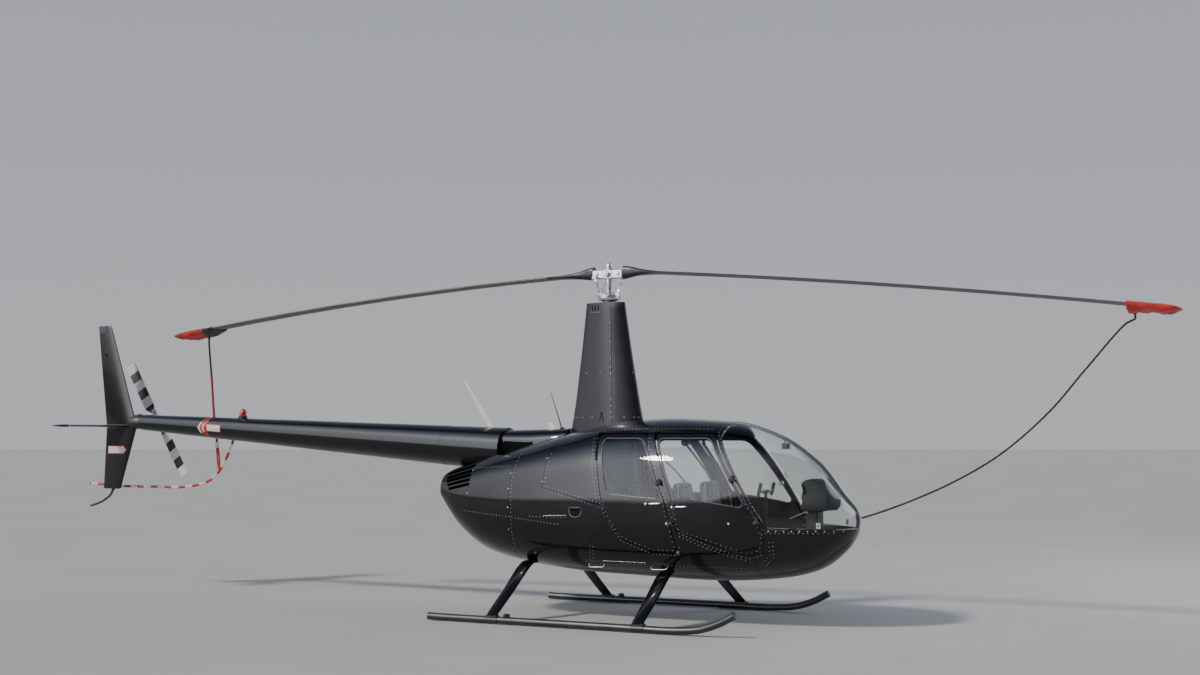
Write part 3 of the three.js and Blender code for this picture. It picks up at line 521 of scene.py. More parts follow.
def skin_flat(zone, cuts=(), centre_gap=0, step=GRID):
    """Flat points and triangles of a zone's starboard half, less the cuts."""
    nose = run_x > NOSE_SEAM_X
    limit = np.interp(max(centre_gap, 0.0015), run_half[nose][::-1], run_x[nose][::-1])

    def flat(points):
        x = np.clip(points[:, 0], POD_AFT, limit)
        angle = pod_angle(x, points[:, 1])
        for above in (True, False):
            half, _, power = pod_size(x, np.full(len(x), above))
            top = np.arccos(np.minimum(centre_gap / half, 1) ** (power / 2))
            angle = np.minimum(angle, top) if above else np.maximum(angle, -top)
        return to_flat(x, angle)

    verts, edges = [], []
    for outline in (zone, *cuts):
        line = flat(dense(outline, 0.0015))
        thin = [line[0]]
        for point in line[1:]:
            if np.linalg.norm(point - thin[-1]) > step * 0.4:
                thin.append(point)
        line = thin
        start, count = len(verts), len(line)
        verts += list(line)
        edges += [(start + i, start + (i + 1) % count) for i in range(count)]
    border = np.array(verts)
    low, high = border.min(0), border.max(0)
    grid = np.stack(np.meshgrid(
        np.arange(low[0] + step / 2, high[0], step), np.arange(low[1] + step / 2, high[1], step * 0.9),
    ), -1).reshape(-1, 2)

    def kept(flat_points):
        side = pod_point(*from_flat(flat_points))[:, [0, 2]]
        result = inside(zone, side)
        for cut in cuts:
            result &= ~inside(cut, side)
        return result

    grid = grid[kept(grid)]
    cell = step * 0.55
    buckets = {}
    for point in border:
        buckets.setdefault((int(point[0] // step), int(point[1] // step)), []).append(point)
    clear = []
    for point in grid:
        i, j = int(point[0] // step), int(point[1] // step)
        near = [p for a in (-1, 0, 1) for b in (-1, 0, 1) for p in buckets.get((i + a, j + b), ())]
        if not near or np.min(np.linalg.norm(np.array(near) - point, axis=1)) > cell:
            clear.append(point)
    points = [Vector(p) for p in verts] + [Vector(p) for p in clear]
    flat_points, _, triangles = delaunay_2d_cdt(points, edges, [], 0, 1e-6)[:3]
    flat_points = np.array([tuple(p) for p in flat_points])
    triangles = np.array([t for t in triangles if len(t) == 3])
    triangles = triangles[kept(flat_points[triangles].mean(1))]
    return flat_points, triangles


def skin_piece(name, flat, materials, depths, hand, body="root", slot=None, replaces=()):
    """A closed panel between two depths under the surface, of one side or of both sides welded."""
    flat_points, triangles = flat
    surface = pod_point(*from_flat(flat_points))
    used, triangles = np.unique(triangles, return_inverse=True)
    triangles = triangles.reshape(-1, 3)
    surface = surface[used]
    a, b, c = (surface[triangles[:, i]] for i in range(3))
    facing = np.cross(b - a, c - a)
    normal = pod_normal(surface)
    flip = np.sum(facing * normal[triangles[:, 0]], 1) < 0
    triangles[flip] = triangles[flip][:, ::-1]
    size = np.linalg.norm(facing, axis=1)
    triangles = triangles[size > 1e-9]
    if hand == 0:
        middle = np.abs(surface[:, 1]) < 1e-6
        normal[middle, 1] = 0
        normal /= np.linalg.norm(normal, axis=1)[:, None]
        other = np.full(len(surface), -1)
        other[middle] = np.nonzero(middle)[0]
        other[~middle] = len(surface) + np.arange(np.count_nonzero(~middle))
        triangles = np.concatenate([triangles, other[triangles][:, ::-1]])
        surface = np.concatenate([surface, surface[~middle] * MIRROR_Y])
        normal = np.concatenate([normal, normal[~middle] * MIRROR_Y])
    elif hand == PORT:
        surface = surface * MIRROR_Y
        normal = normal * MIRROR_Y
        triangles = triangles[:, ::-1]
    outer = surface - normal * depths[0]
    inner = surface - normal * depths[1]
    count = len(surface)
    edges = {}
    for t in triangles:
        for i in range(3):
            edges[(t[i], t[(i + 1) % 3])] = True
    walls = [(i, j) for i, j in edges if (j, i) not in edges]
    verts = np.concatenate([outer, inner]) + TO_ORIGIN
    faces = [tuple(t) for t in triangles]
    faces += [(t[2] + count, t[1] + count, t[0] + count) for t in triangles]
    faces += [(j, i, i + count, j + count) for i, j in walls]
    indices = [0] * len(triangles) + [min(1, len(materials) - 1)] * len(triangles) + [0] * len(walls)
    normals = [n for t in triangles for n in normal[t]]
    normals += [-n for t in triangles for n in normal[t[::-1]]]
    for i, j in walls:
        wall = np.cross(verts[i] - verts[j], verts[i + count] - verts[j])
        wall = wall / max(np.linalg.norm(wall), 1e-12)
        normals += [wall] * 4
    return piece(name, verts, faces, materials, body, slot, replaces, 180, indices, normals)


# Materials

PATCH_STOPS = (0.35, 0.68)
COAT_IOR = 1.40
PANE_IOR = 1.28


def node_material(name):
    """A material with its nodes, links and shader."""
    material = bpy.data.materials.new(name)
    material.use_nodes = True
    nodes = material.node_tree.nodes
    return material, nodes, material.node_tree.links, nodes["Principled BSDF"]


def set_inputs(node, values):
    """Sets inputs of a node from {name: value}."""
    for name, value in values.items():
        node.inputs[name].default_value = value


def add_node(nodes, kind, values=None):
    """A new shader node with inputs set from {name: value}."""
    node = nodes.new(f"ShaderNode{kind}")
    set_inputs(node, values or {})
    return node


def colour_patches(nodes, links, shader, fac, color, tint):
    """Two colours that meet in soft patches where the noise passes from low to high."""
    ramp = nodes.new("ShaderNodeValToRGB")
    for element, position, paint in zip(ramp.color_ramp.elements, PATCH_STOPS, (color, tint)):
        element.position = position
        element.color = (*paint, 1)
    links.new(fac, ramp.inputs["Fac"])
    links.new(ramp.outputs["Color"], shader.inputs["Base Color"])


def finish_material(
    name, color, tint, roughness, spread=0.05, metallic=0.0, patch=3.0, grain=60.0,
    bumps=(), coat=0.0, coat_roughness=0.03, specular=0.5, sheen=0.0, stretch=(1, 1, 1),
):
    """Paint, metal, plastic or cloth: patches of two colours, uneven roughness and layers of bump."""
    material, nodes, links, shader = node_material(name)
    where = nodes.new("ShaderNodeTexCoord")
    scaled = add_node(nodes, "Mapping", {"Scale": stretch})
    links.new(where.outputs["Object"], scaled.inputs["Vector"])

    def noise(scale, detail=4.0):
        texture = add_node(nodes, "TexNoise", {"Scale": scale, "Detail": detail})
        links.new(scaled.outputs["Vector"], texture.inputs["Vector"])
        return texture.outputs["Fac"]

    colour_patches(nodes, links, shader, noise(patch), color, tint)
    spread_map = add_node(nodes, "MapRange", {
        "To Min": max(roughness - spread, 0.01), "To Max": min(roughness + spread, 1.0),
    })
    links.new(noise(grain), spread_map.inputs["Value"])
    links.new(spread_map.outputs["Result"], shader.inputs["Roughness"])
    set_inputs(shader, {"Metallic": metallic, "Specular IOR Level": specular})
    if coat:
        set_inputs(shader, {"Coat Weight": coat, "Coat Roughness": coat_roughness, "Coat IOR": COAT_IOR})
    if sheen:
        set_inputs(shader, {"Sheen Weight": sheen})
    last = None
    for distance, scale in bumps:
        bump = add_node(nodes, "Bump", {"Distance": distance, "Strength": 1.0})
        links.new(noise(scale, 2.0), bump.inputs["Height"])
        if last:
            links.new(last, bump.inputs["Normal"])
        last = bump.outputs["Normal"]
    if last:
        links.new(last, shader.inputs["Normal"])
        if coat:
            links.new(last, shader.inputs["Coat Normal"])
    return material


def glass_material(name, color, roughness=0.006):
    """Moulded acrylic with faint smears."""
    material, nodes, links, shader = node_material(name)
    set_inputs(shader, {"Base Color": (*color, 1), "Transmission Weight": 1.0, "IOR": PANE_IOR})
    where = nodes.new("ShaderNodeTexCoord")
    texture = add_node(nodes, "TexNoise", {"Scale": 7.0, "Detail": 6.0})
    links.new(where.outputs["Object"], texture.inputs["Vector"])
    smears = add_node(nodes, "MapRange", {
        "From Min": 0.5, "From Max": 0.8, "To Min": roughness, "To Max": roughness + 0.025,
    })
    links.new(texture.outputs["Fac"], smears.inputs["Value"])
    links.new(smears.outputs["Result"], shader.inputs["Roughness"])
    return material


gloss_black = finish_material(
    "gloss_black", (0.0022, 0.0024, 0.0032), (0.0036, 0.0038, 0.0046), 0.30, 0.06, patch=2.0, grain=30.0,
    bumps=((0.0012, 2.6), (0.00012, 22.0)), coat=1.0, coat_roughness=0.02, specular=0.12,
)
satin_black = finish_material(
    "satin_black", (0.012, 0.012, 0.014), (0.03, 0.03, 0.032), 0.38, 0.1, patch=9.0, grain=80.0,
    bumps=((0.0002, 120.0),),
)
trim_dark = finish_material(
    "trim_dark", (0.014, 0.014, 0.015), (0.026, 0.025, 0.024), 0.62, 0.08, patch=6.0, grain=200.0,
    bumps=((0.0004, 340.0),),
)
bead_grey = finish_material(
    "bead_grey", (0.10, 0.10, 0.105), (0.19, 0.19, 0.195), 0.34, 0.08, patch=14.0, grain=90.0,
    bumps=((0.0002, 90.0),),
)
charcoal = finish_material(
    "charcoal", (0.012, 0.013, 0.015), (0.019, 0.020, 0.022), 0.34, 0.07, patch=4.0, grain=40.0,
    bumps=((0.0008, 4.0), (0.00015, 60.0)), coat=0.45, coat_roughness=0.10, specular=0.3,
)
blade_dark = finish_material(
    "blade_dark", (0.016, 0.016, 0.018), (0.028, 0.028, 0.030), 0.42, 0.1, patch=5.0, grain=70.0,
    bumps=((0.0002, 30.0),), stretch=(0.4, 3, 3),
)
blade_black = finish_material(
    "blade_black", (0.012, 0.012, 0.013), (0.022, 0.022, 0.023), 0.34, 0.08, patch=8.0, grain=70.0,
)
worn_edge = finish_material(
    "worn_edge", (0.20, 0.165, 0.13), (0.30, 0.26, 0.22), 0.38, 0.12, metallic=0.6, patch=7.0, grain=80.0,
    stretch=(0.4, 3, 3),
)
bare_alloy = finish_material(
    "bare_alloy", (0.52, 0.53, 0.54), (0.68, 0.69, 0.70), 0.32, 0.10, metallic=1.0, patch=14.0, grain=120.0,
    bumps=((0.0002, 160.0),),
)
red_cloth = finish_material(
    "red_cloth", (0.52, 0.020, 0.018), (0.62, 0.035, 0.028), 0.86, 0.06, patch=9.0, grain=200.0,
    bumps=((0.0010, 40.0), (0.0004, 420.0)), sheen=0.25,
)
antenna_white = finish_material(
    "antenna_white", (0.78, 0.78, 0.77), (0.84, 0.84, 0.83), 0.32, 0.07, patch=12.0, grain=60.0,
)
guard_red = finish_material(
    "guard_red", (0.55, 0.022, 0.020), (0.62, 0.030, 0.026), 0.36, 0.08, patch=12.0, grain=60.0,
)
guard_white = finish_material(
    "guard_white", (0.78, 0.77, 0.75), (0.84, 0.83, 0.82), 0.34, 0.08, patch=12.0, grain=60.0,
)
lens_red = finish_material(
    "lens_red", (0.45, 0.006, 0.006), (0.60, 0.012, 0.010), 0.12, 0.04, patch=20.0, grain=30.0, coat=1.0,
)
skid_paint = finish_material(
    "skid_paint", (0.012, 0.012, 0.013), (0.035, 0.034, 0.033), 0.36, 0.12, patch=6.0, grain=60.0,
    bumps=((0.0003, 40.0),), coat=0.3, coat_roughness=0.2,
)
# Near-black with little shine: painted shade, laid where the insides of openings, slots and holes would be
# dark, and also drawn as the dark line of a seam
shade_and_seam_black = finish_material(
    "shade_and_seam_black", (0.002, 0.002, 0.002), (0.004, 0.004, 0.004), 0.9, 0.05, patch=9.0, specular=0.1,
)
# Light metal for rivet heads, a drain and thin edge lines: partly worn bare metal, partly painted highlight
# that stands in for the glints on heads and edges
wear_and_glint_metal = finish_material(
    "wear_and_glint_metal", (0.20, 0.20, 0.21), (0.42, 0.42, 0.43), 0.34, 0.10, metallic=0.9, patch=60.0, grain=200.0,
    bumps=((0.0002, 300.0),),
)
clear_glass = glass_material("clear_glass", (0.93, 0.96, 0.95))

# Camera

camera_data = bpy.data.cameras.new("camera")
camera_data.sensor_width = 36
camera_data.lens = CAMERA_LENS
camera_data.clip_end = 200
camera = bpy.data.objects.new("camera", camera_data)
bpy.context.scene.collection.objects.link(camera)
camera.location = CAMERA_PLACE
camera.rotation_euler = (math.radians(90 + CAMERA_PITCH), 0, math.radians(-CAMERA_YAW))
bpy.context.scene.camera = camera

# Front tie-down cord, from the nose tip up to the loop of the blade's cover

CORD_RADIUS = 0.009
CORD_ROUTE = (
    (4.6940, 0.2378, 2.6317), (4.6940, 0.2378, 2.6017), (4.620, 0.234, 2.560), (4.300, 0.218, 2.200),
    (4.000, 0.200, 1.850), (3.600, 0.170, 1.500), (3.200, 0.130, 1.260), (2.800, 0.080, 1.080),
    (2.560, 0.040, 0.990), (2.437, 0.008, 0.950),
)


THREAD_WAVES = 0.314


def cloth_material(name, color, tint, pitch, roughness=0.85, bump=0.0004, sheen=0.3):
    """Woven cloth: crossed waves for the threads, and soft patches of colour."""
    material, nodes, links, shader = node_material(name)
    where = nodes.new("ShaderNodeTexCoord")
    heights = []
    for direction in "XYZ":
        wave = add_node(nodes, "TexWave", {"Scale": THREAD_WAVES / pitch, "Distortion": 0.6})
        wave.bands_direction = direction
        links.new(where.outputs["Object"], wave.inputs["Vector"])
        heights.append(wave.outputs["Fac"])
    both = nodes.new("ShaderNodeMath")
    both.operation = "MULTIPLY"
    links.new(heights[0], both.inputs[0])
    links.new(heights[1], both.inputs[1])
    weave = nodes.new("ShaderNodeMath")
    weave.operation = "ADD"
    links.new(both.outputs[0], weave.inputs[0])
    links.new(heights[2], weave.inputs[1])
    bump_node = add_node(nodes, "Bump", {"Distance": bump, "Strength": 0.8})
    links.new(weave.outputs[0], bump_node.inputs["Height"])
    links.new(bump_node.outputs["Normal"], shader.inputs["Normal"])
    texture = add_node(nodes, "TexNoise", {"Scale": 7.0, "Detail": 6.0})
    links.new(where.outputs["Object"], texture.inputs["Vector"])
    colour_patches(nodes, links, shader, texture.outputs["Fac"], color, tint)
    set_inputs(shader, {"Roughness": roughness, "Sheen Weight": sheen})
    return material


cord_black = cloth_material("cord_black", (0.012, 0.012, 0.014), (0.03, 0.03, 0.033), 0.003)
webbing = cloth_material("webbing", (0.10, 0.11, 0.13), (0.16, 0.17, 0.19), 0.0025, 0.75, 0.0005)
strap_red = cloth_material("strap_red", (0.42, 0.030, 0.022), (0.55, 0.045, 0.032), 0.0025, 0.8, 0.0005)
strap_black = cloth_material("strap_black", (0.012, 0.012, 0.013), (0.028, 0.028, 0.03), 0.0025, 0.8, 0.0005)
carpet = cloth_material("carpet", (0.035, 0.036, 0.038), (0.060, 0.060, 0.062), 0.006, 0.95, 0.002, 0.4)
cord_run = even(catmull(CORD_ROUTE, 40)[::-1], 0.006)


def laid_rope(angle, k):
    """Radius of a rope with three strands that wind round it."""
    return CORD_RADIUS * (0.93 + 0.07 * math.cos(3 * angle - 0.62 * k))


front_cord = tube(cord_run, laid_rope, 14)
cord = piece("front_cord", *to_frame(front_cord), cord_black, "root", "cord_black", ["front_tie_cord"], 60)

# Skin pieces of the pod, its doors and its panes

WALL = 0.030
SKIN = 0.012
PANE_GAP = 0.0004
front_door = rounded(FRONT_DOOR, 0.03)
rear_door = rounded(REAR_DOOR, 0.03)
front_window = rounded(FRONT_WINDOW, 0.055, 7)
rear_window = rounded(REAR_WINDOW, 0.055, 7)
openings = [offset(FRONT_DOOR, DOOR_GAP), offset(REAR_DOOR, DOOR_GAP), *CORNER_RELIEF]
painted = [gloss_black, trim_dark]
LOUVRE = ((-1.545, 1.300), (-1.229, 1.388), (-1.209, 1.190), (-1.465, 1.140), (-1.535, 1.234))
LOUVRE_AFT = ((1.140, -1.465), (1.234, -1.535), (1.300, -1.545))
louvre_slots = []
for k in range(5):
    right = 1.388 - k * 0.0418
    left = 1.300 - k * 0.0338
    top, foot = (read_table(LOUVRE_AFT, z, (1,))[0] for z in (left, left - 0.0248))
    louvre_slots.append((
        (top, left), (-1.229 + k * 0.005, right),
        (-1.225 + k * 0.005, right - 0.0308), (foot, left - 0.0248),
    ))

for name, zone in ZONES.items():
    cuts = list(openings)
    if name == "windshield_frame":
        cuts.append(WINDSHIELD)
    if name == "aft_cowl":
        cuts += louvre_slots
    flat = skin_flat(offset(zone, -SEAM), cuts)
    if name == "door_post":
        for hand, side in HANDS.items():
            skin_piece(f"post_{hand}", flat, painted, (0, WALL), side, slot="gloss_black",
                       replaces=[f"door_post_{hand}"])
    else:
        skin_piece(f"{name}_skin", flat, painted, (0, WALL), 0, slot="gloss_black", replaces=[name])

for end, outline, window in (("front", front_door, front_window), ("rear", rear_door, rear_window)):
    skin = skin_flat(outline, [window])
    pan = skin_flat(offset(outline, -0.018), [offset(window, 0.004)])
    pane = skin_flat(offset(window, -PANE_GAP))
    for hand, side in HANDS.items():
        door = f"door_{end}_{hand}"
        skin_piece(f"{door}_skin", skin, [gloss_black], (0, SKIN), side, door, "gloss_black", [door])
        skin_piece(f"{door}_pan", pan, [trim_dark], (SKIN, WALL), side, door, "trim_dark")
        skin_piece(f"{door}_pane", pane, [clear_glass], (0.004, 0.008), side, door, "glass",
                   [f"glass_{end}_{hand}"])

screen = skin_flat(offset(WINDSHIELD, -PANE_GAP), (), BOW_HALF)
for hand, side in HANDS.items():
    skin_piece(f"windshield_{hand}_pane", screen, [clear_glass], (0.003, 0.008), side, "root", "glass",
               [f"windshield_{hand}"])


def put(name, part, material, body="root", slot=None, replaces=(), sharp=35, indices=None):
    """A piece from a part given from the rotor axis's place."""
    verts, faces = to_frame(part)
    return piece(name, verts, faces, material, body, slot, replaces, sharp, indices)


def bolt(place, axis, radius, height):
    """A hexagon head on a washer."""
    head = lathe(
        ((0.0, radius), (height * 0.85, radius), (height, radius * 0.86)), place, axis, 6,
    )
    washer = lathe(((0.0, radius * 1.3), (height * 0.22, radius * 1.3)), place, axis, 16)
    return joined(washer, head)


def bolt_pair(place, radius, height):
    """Bolt heads on both sides of what the bolt goes through along Y."""
    x, y, z = place
    return [bolt((x, side * y, z), (0, side, 0), radius, height) for side in (PORT, STARBOARD)]


def ring_of_bolts(centre, axis, across, count, distance, radius, height):
    """Bolts round a centre. The first stands off along the across way."""
    parts = []
    for k in range(count):
        turn = Matrix.Rotation(2 * math.pi * k / count, 3, Vector(axis))
        at = Vector(centre) + turn @ Vector(across).normalized() * distance
        parts.append(bolt(tuple(at), axis, radius, height))
    return joined(*parts)


def band_indices(part, bands):
    """A material index for each face, from the place of its middle."""
    verts, faces = part
    return [bands(np.mean([verts[i] for i in face], axis=0)) for face in faces]


def wing_half(share):
    """Half thickness of a wing section over its thickness, from the leading edge at 0."""
    share = np.clip(share, 0, 1)
    return 5 * (
        0.2969 * np.sqrt(share) - 0.1260 * share - 0.3516 * share ** 2 + 0.2843 * share ** 3
        - 0.1036 * share ** 4
    )


def wing_ring(count=32):
    """(share from the leading edge, half thickness over thickness) round a wing section."""
    angles = 2 * math.pi * np.arange(count) / count
    share = (1 - np.cos(angles)) / 2
    return share, np.sign(np.round(np.sin(angles), 9)) * wing_half(share)


# Tail cone

CONE_FRONT, CONE_BACK = -1.090, -5.735
CONE_JOINTS = (-1.090, -1.760, -2.440, -3.120, -3.800, -4.480, -5.130, -5.735)
LAP = 0.0012


def cone_radius(x):
    """Radius of the tail cone at a place along it."""
    return np.interp(x, (CONE_BACK, CONE_FRONT), (0.084, 0.212))


def cone_z(x):
    """Height of the tail cone's middle at a place along it."""
    return np.interp(x, (CONE_BACK, CONE_FRONT), (1.799, 1.520))


def cone_point(x, degrees, out=0.0):
    """A point of the cone's skin. The angle counts from the top towards starboard."""
    angle = math.radians(degrees)
    radius = cone_radius(x) + out
    return Vector((x, -radius * math.sin(angle), cone_z(x) + radius * math.cos(angle)))


rings = []
for k, (front, back) in enumerate(zip(CONE_JOINTS, CONE_JOINTS[1:])):
    rim = LAP if k % 2 else 0.0
    for x in np.linspace(front, back, 7):
        rings.append([cone_point(x, 360 * i / 48, rim) for i in range(48)])
put("tail_cone_skin", loft(rings), gloss_black, slot="gloss_black", replaces=["tail_cone"])


# Rivets


def rivets(name, places, material, body="root", slot="gloss_black", radius=0.0032, height=0.0011):
    """One mesh of low domes at (point, normal) places."""
    verts, faces = [], []
    sides = 8
    for point, normal in places:
        normal = Vector(normal).normalized()
        side = normal.orthogonal().normalized()
        other = normal.cross(side)
        start = len(verts)
        for out, share in ((-0.0006, 1.0), (height * 0.55, 0.82), (height, 0.38)):
            for angle in turn_angles(sides):
                across = (side * math.cos(angle) + other * math.sin(angle)) * radius * share
                verts.append(tuple(Vector(point) + across + normal * out + Vector(TO_ORIGIN)))
        for k in range(2):
            for i in range(sides):
                j = (i + 1) % sides
                a, b = start + k * sides, start + (k + 1) * sides
                faces.append((a + i, a + j, b + j, b + i))
        faces.append(tuple(start + i for i in reversed(range(sides))))
        faces.append(tuple(start + 2 * sides + i for i in range(sides)))
    return piece(name, verts, faces, material, body, slot, (), 60)


cone_rivets = []
for x in CONE_JOINTS[1:-1]:
    for shift in (-0.012, 0.012):
        count = round(2 * math.pi * cone_radius(x) / 0.032)
        for i in range(count):
            degrees = 360 * i / count
            point = cone_point(x + shift, degrees, LAP * 0.5)
            cone_rivets.append((point, point - Vector((x + shift, 0, cone_z(x + shift)))))
for degrees in (150, 210):
    for x in np.arange(CONE_FRONT - 0.4, CONE_BACK, -0.045):
        point = cone_point(x, degrees, LAP * 0.3)
        cone_rivets.append((point, point - Vector((x, 0, cone_z(x)))))
rivets("cone_rivets", cone_rivets, gloss_black)

# Fins and stabilizer

FIN_ROWS = {
    "upper_fin": ((-5.836, -6.276, 1.7785, 0.036), (-6.226, -6.418, 2.862, 0.0216)),
    "lower_fin": ((-5.834, -6.274, 1.7415, 0.036), (-6.052, -6.302, 1.080, 0.0252)),
}
SKIN_SWELL = 1.05
share, half = wing_ring(36)
fin_rivets = []
for name, (root, tip) in FIN_ROWS.items():
    rings = []
    for k in range(15):
        t = k / 14
        lead, trail, z, thick = mix(root, tip, t)
        rings.append([
            (lead + (trail - lead) * s, h * thick * SKIN_SWELL if s < 1 else 0, z)
            for s, h in zip(share, half)
        ])
    lead, trail, z, thick = tip
    way = math.copysign(1, tip[2] - root[2])
    rings.append([
        (lead + (trail - lead) * (0.04 + 0.92 * s), h * thick * 0.6, z + way * 0.006)
        for s, h in zip(share, half)
    ])
    put(f"{name}_skin", loft(rings), gloss_black, slot="gloss_black", replaces=[name])
    spots = [
        (s, t) for t in (0.03, 0.34, 0.67, 0.97)
        for s in np.arange(0.1, 0.95, 0.028 / abs(np.diff(mix(root, tip, t)[:2])[0]))
    ]
    spots += [(s, t) for s in (0.3, 0.93) for t in np.arange(0.05, 0.96, 0.032 / abs(tip[2] - root[2]))]
    for s, t in spots:
        lead, trail, z, thick = mix(root, tip, t)
        for side in BOTH_SIDES:
            y = side * float(wing_half(s)) * thick * SKIN_SWELL
            fin_rivets.append(((lead + (trail - lead) * s, y, z), (0, side, 0)))

STABILIZER = ((-5.930, -6.235, -0.0155, 0.030), (-5.940, -6.235, -0.860, 0.026))
STABILIZER_Z = 1.760
rings = []
for k in range(12):
    t = k / 11
    lead, trail, y, thick = mix(*STABILIZER, t)
    rings.append([
        (lead + (trail - lead) * s, y, STABILIZER_Z + h * thick * SKIN_SWELL) for s, h in zip(share, half)
    ])
rings.append([
    (lead + (trail - lead) * (0.05 + 0.9 * s), y - 0.006, STABILIZER_Z + h * thick * 0.6)
    for s, h in zip(share, half)
])
put("stabilizer_skin", loft(rings), gloss_black, slot="gloss_black", replaces=["stabilizer"])
for t in (0.04, 0.34, 0.66, 0.97):
    lead, trail, y, thick = mix(*STABILIZER, t)
    for s in np.arange(0.1, 0.95, 0.09):
        for side in BOTH_SIDES:
            z = STABILIZER_Z + side * float(wing_half(s)) * thick * SKIN_SWELL
            fin_rivets.append(((lead + (trail - lead) * s, y, z), (0, 0, side)))
rivets("fin_rivets", fin_rivets, gloss_black)

# Tail gearbox

GEARBOX_Z = float(cone_z(CONE_BACK))
TAIL_HUB = Vector((-5.859, 0.345, 1.833))
parts = [
    lathe((
        (0.000, 0.081), (0.012, 0.081), (0.014, 0.070), (0.035, 0.070), (0.050, 0.074), (0.130, 0.074),
        (0.150, 0.066), (0.178, 0.052), (0.188, 0.030),
    ), (CONE_BACK - 0.0005, 0, GEARBOX_Z), (-1, 0, 0.021), 40),
    lathe((
        (0.000, 0.050), (0.070, 0.050), (0.078, 0.058), (0.094, 0.058), (0.100, 0.045), (0.180, 0.040),
        (0.200, 0.046), (0.216, 0.046), (0.222, 0.034), (0.268, 0.032),
    ), (TAIL_HUB.x, 0, TAIL_HUB.z), (0, 1, 0), 36),
    ring_of_bolts((CONE_BACK - 0.011, 0, GEARBOX_Z), (-1, 0, 0), (0, 0, 1), 8, 0.074, 0.005, 0.005),
    ring_of_bolts((TAIL_HUB.x, 0.093, TAIL_HUB.z), (0, 1, 0), (0, 0, 1), 6, 0.050, 0.0045, 0.005),
    block(-6.250, -5.850, -0.0148, 0.0148, 1.742, 1.778, 0.003),
    lathe(((0, 0.016), (0.018, 0.016), (0.020, 0.012)), (-5.800, 0, GEARBOX_Z + 0.070), (0, 0, 1), 6),
]
put("gearbox_case", joined(*parts), satin_black, slot="bare_alloy", replaces=["tail_gearbox"])

# Tail rotor

TAIL_RADIUS = 0.735
STRIPES = (0.190, 0.299, 0.408, 0.517, 0.626, 0.735)
STRIPE_LENGTH = 0.109
TAIL_TILT = -31.8
TAIL_PITCH = 8.0


def on_tail_hub(part):
    """A part made round the tail rotor's centre, turned and moved to its hub."""
    return moved(turned(part, TAIL_TILT, "Y"), TAIL_HUB)


share, half = wing_ring(28)
stations = [0.090, 0.105, 0.130, 0.160]
for low, high in zip(STRIPES, STRIPES[1:]):
    stations += list(np.linspace(low, high, 4)[:-1])
stations += [0.729, TAIL_RADIUS]
rings = []
for r in stations:
    grow = min(max((r - 0.09) / 0.10, 0), 1)
    chord = 0.044 + 0.084 * grow * grow * (3 - 2 * grow)
    thick = 0.016 + (0.011 - 0.016) * grow
    shrink = 0.9 if r == TAIL_RADIUS else 1.0
    rings.append([
        (chord * (0.32 - s) * shrink, h * thick * shrink, r) for s, h in zip(share, half)
    ])
tail_blade = loft(rings)


def stripe(middle):
    """Which paint a face of the tail blade has: white, black or the worn leading edge."""
    x, _, z = middle
    if z < STRIPES[0]:
        return 1
    band = min(int((TAIL_RADIUS - z) / STRIPE_LENGTH), 4)
    return 2 if x > 0.034 else band % 2


stripes = band_indices(tail_blade, stripe)
paints = [antenna_white, blade_black, worn_edge]
tail_blade = turned(tail_blade, TAIL_PITCH, "Z")
put("tail_rotor_blade_up", on_tail_hub(tail_blade), paints, "tail_rotor", "antenna_white",
    ["tail_blade_upper"], indices=stripes)
put("tail_rotor_blade_down", on_tail_hub(turned(tail_blade, 180, "Y")), paints, "tail_rotor",
    "antenna_white", ["tail_blade_lower"], indices=stripes)
links = []
for side in BOTH_SIDES:
    plate = (
        (-0.022, 0.036 * side), (0.022, 0.036 * side), (0.016, 0.128 * side), (-0.016, 0.128 * side),
    )
    links += [
        slab(plate, -0.012, -0.007),
        slab(plate, 0.007, 0.012),
        *bolt_pair((0, 0.012, 0.112 * side), 0.006, 0.006),
        tube(((0.052 * side, -0.050, 0.075 * side), (0.048 * side, 0.010, 0.095 * side)), 0.004, 8),
        lathe(((-0.006, 0.008), (0.006, 0.008)), (0.052 * side, -0.050, 0.075 * side), (1, 0, 0), 12),
    ]
hub = joined(
    lathe((
        (-0.074, 0.040), (-0.060, 0.046), (-0.046, 0.046), (-0.044, 0.028), (-0.016, 0.028),
        (-0.014, 0.036), (0.014, 0.036), (0.020, 0.026), (0.036, 0.024), (0.044, 0.016),
    ), (0, 0, 0), (0, 1, 0), 28),
    block(-0.026, 0.026, -0.013, 0.013, -0.060, 0.060, 0.003),
    bolt((0, 0.036, 0), (0, 1, 0), 0.012, 0.010),
    slab(((-0.060, -0.085), (0.060, 0.085), (0.052, 0.095), (-0.068, -0.075)), -0.056, -0.048),
    *links,
)
put("tail_rotor_head", on_tail_hub(hub), bare_alloy, "tail_rotor", "bare_alloy", ["tail_rotor_hub"])

# Tail guard and skid

GUARD_PATH = (
    (-4.525, 0.070, 1.655), (-4.570, 0.088, 1.560), (-4.744, 0.120, 1.305), (-4.880, 0.140, 1.195),
    (-5.045, 0.150, 1.135), (-5.298, 0.150, 1.100), (-5.700, 0.150, 1.098), (-6.153, 0.150, 1.098),
    (-6.656, 0.150, 1.125),
)
GUARD_STRIPE = 0.098
line = even(catmull(GUARD_PATH, 12), GUARD_STRIPE / 4)
guard = tube(line, 0.0145, 14)
run = run_along(line)


def guard_stripe(middle):
    """Red or white by the distance along the guard."""
    nearest = np.argsort(np.linalg.norm(line - middle, axis=1))[:2]
    return int(np.mean(run[nearest]) / GUARD_STRIPE) % 2


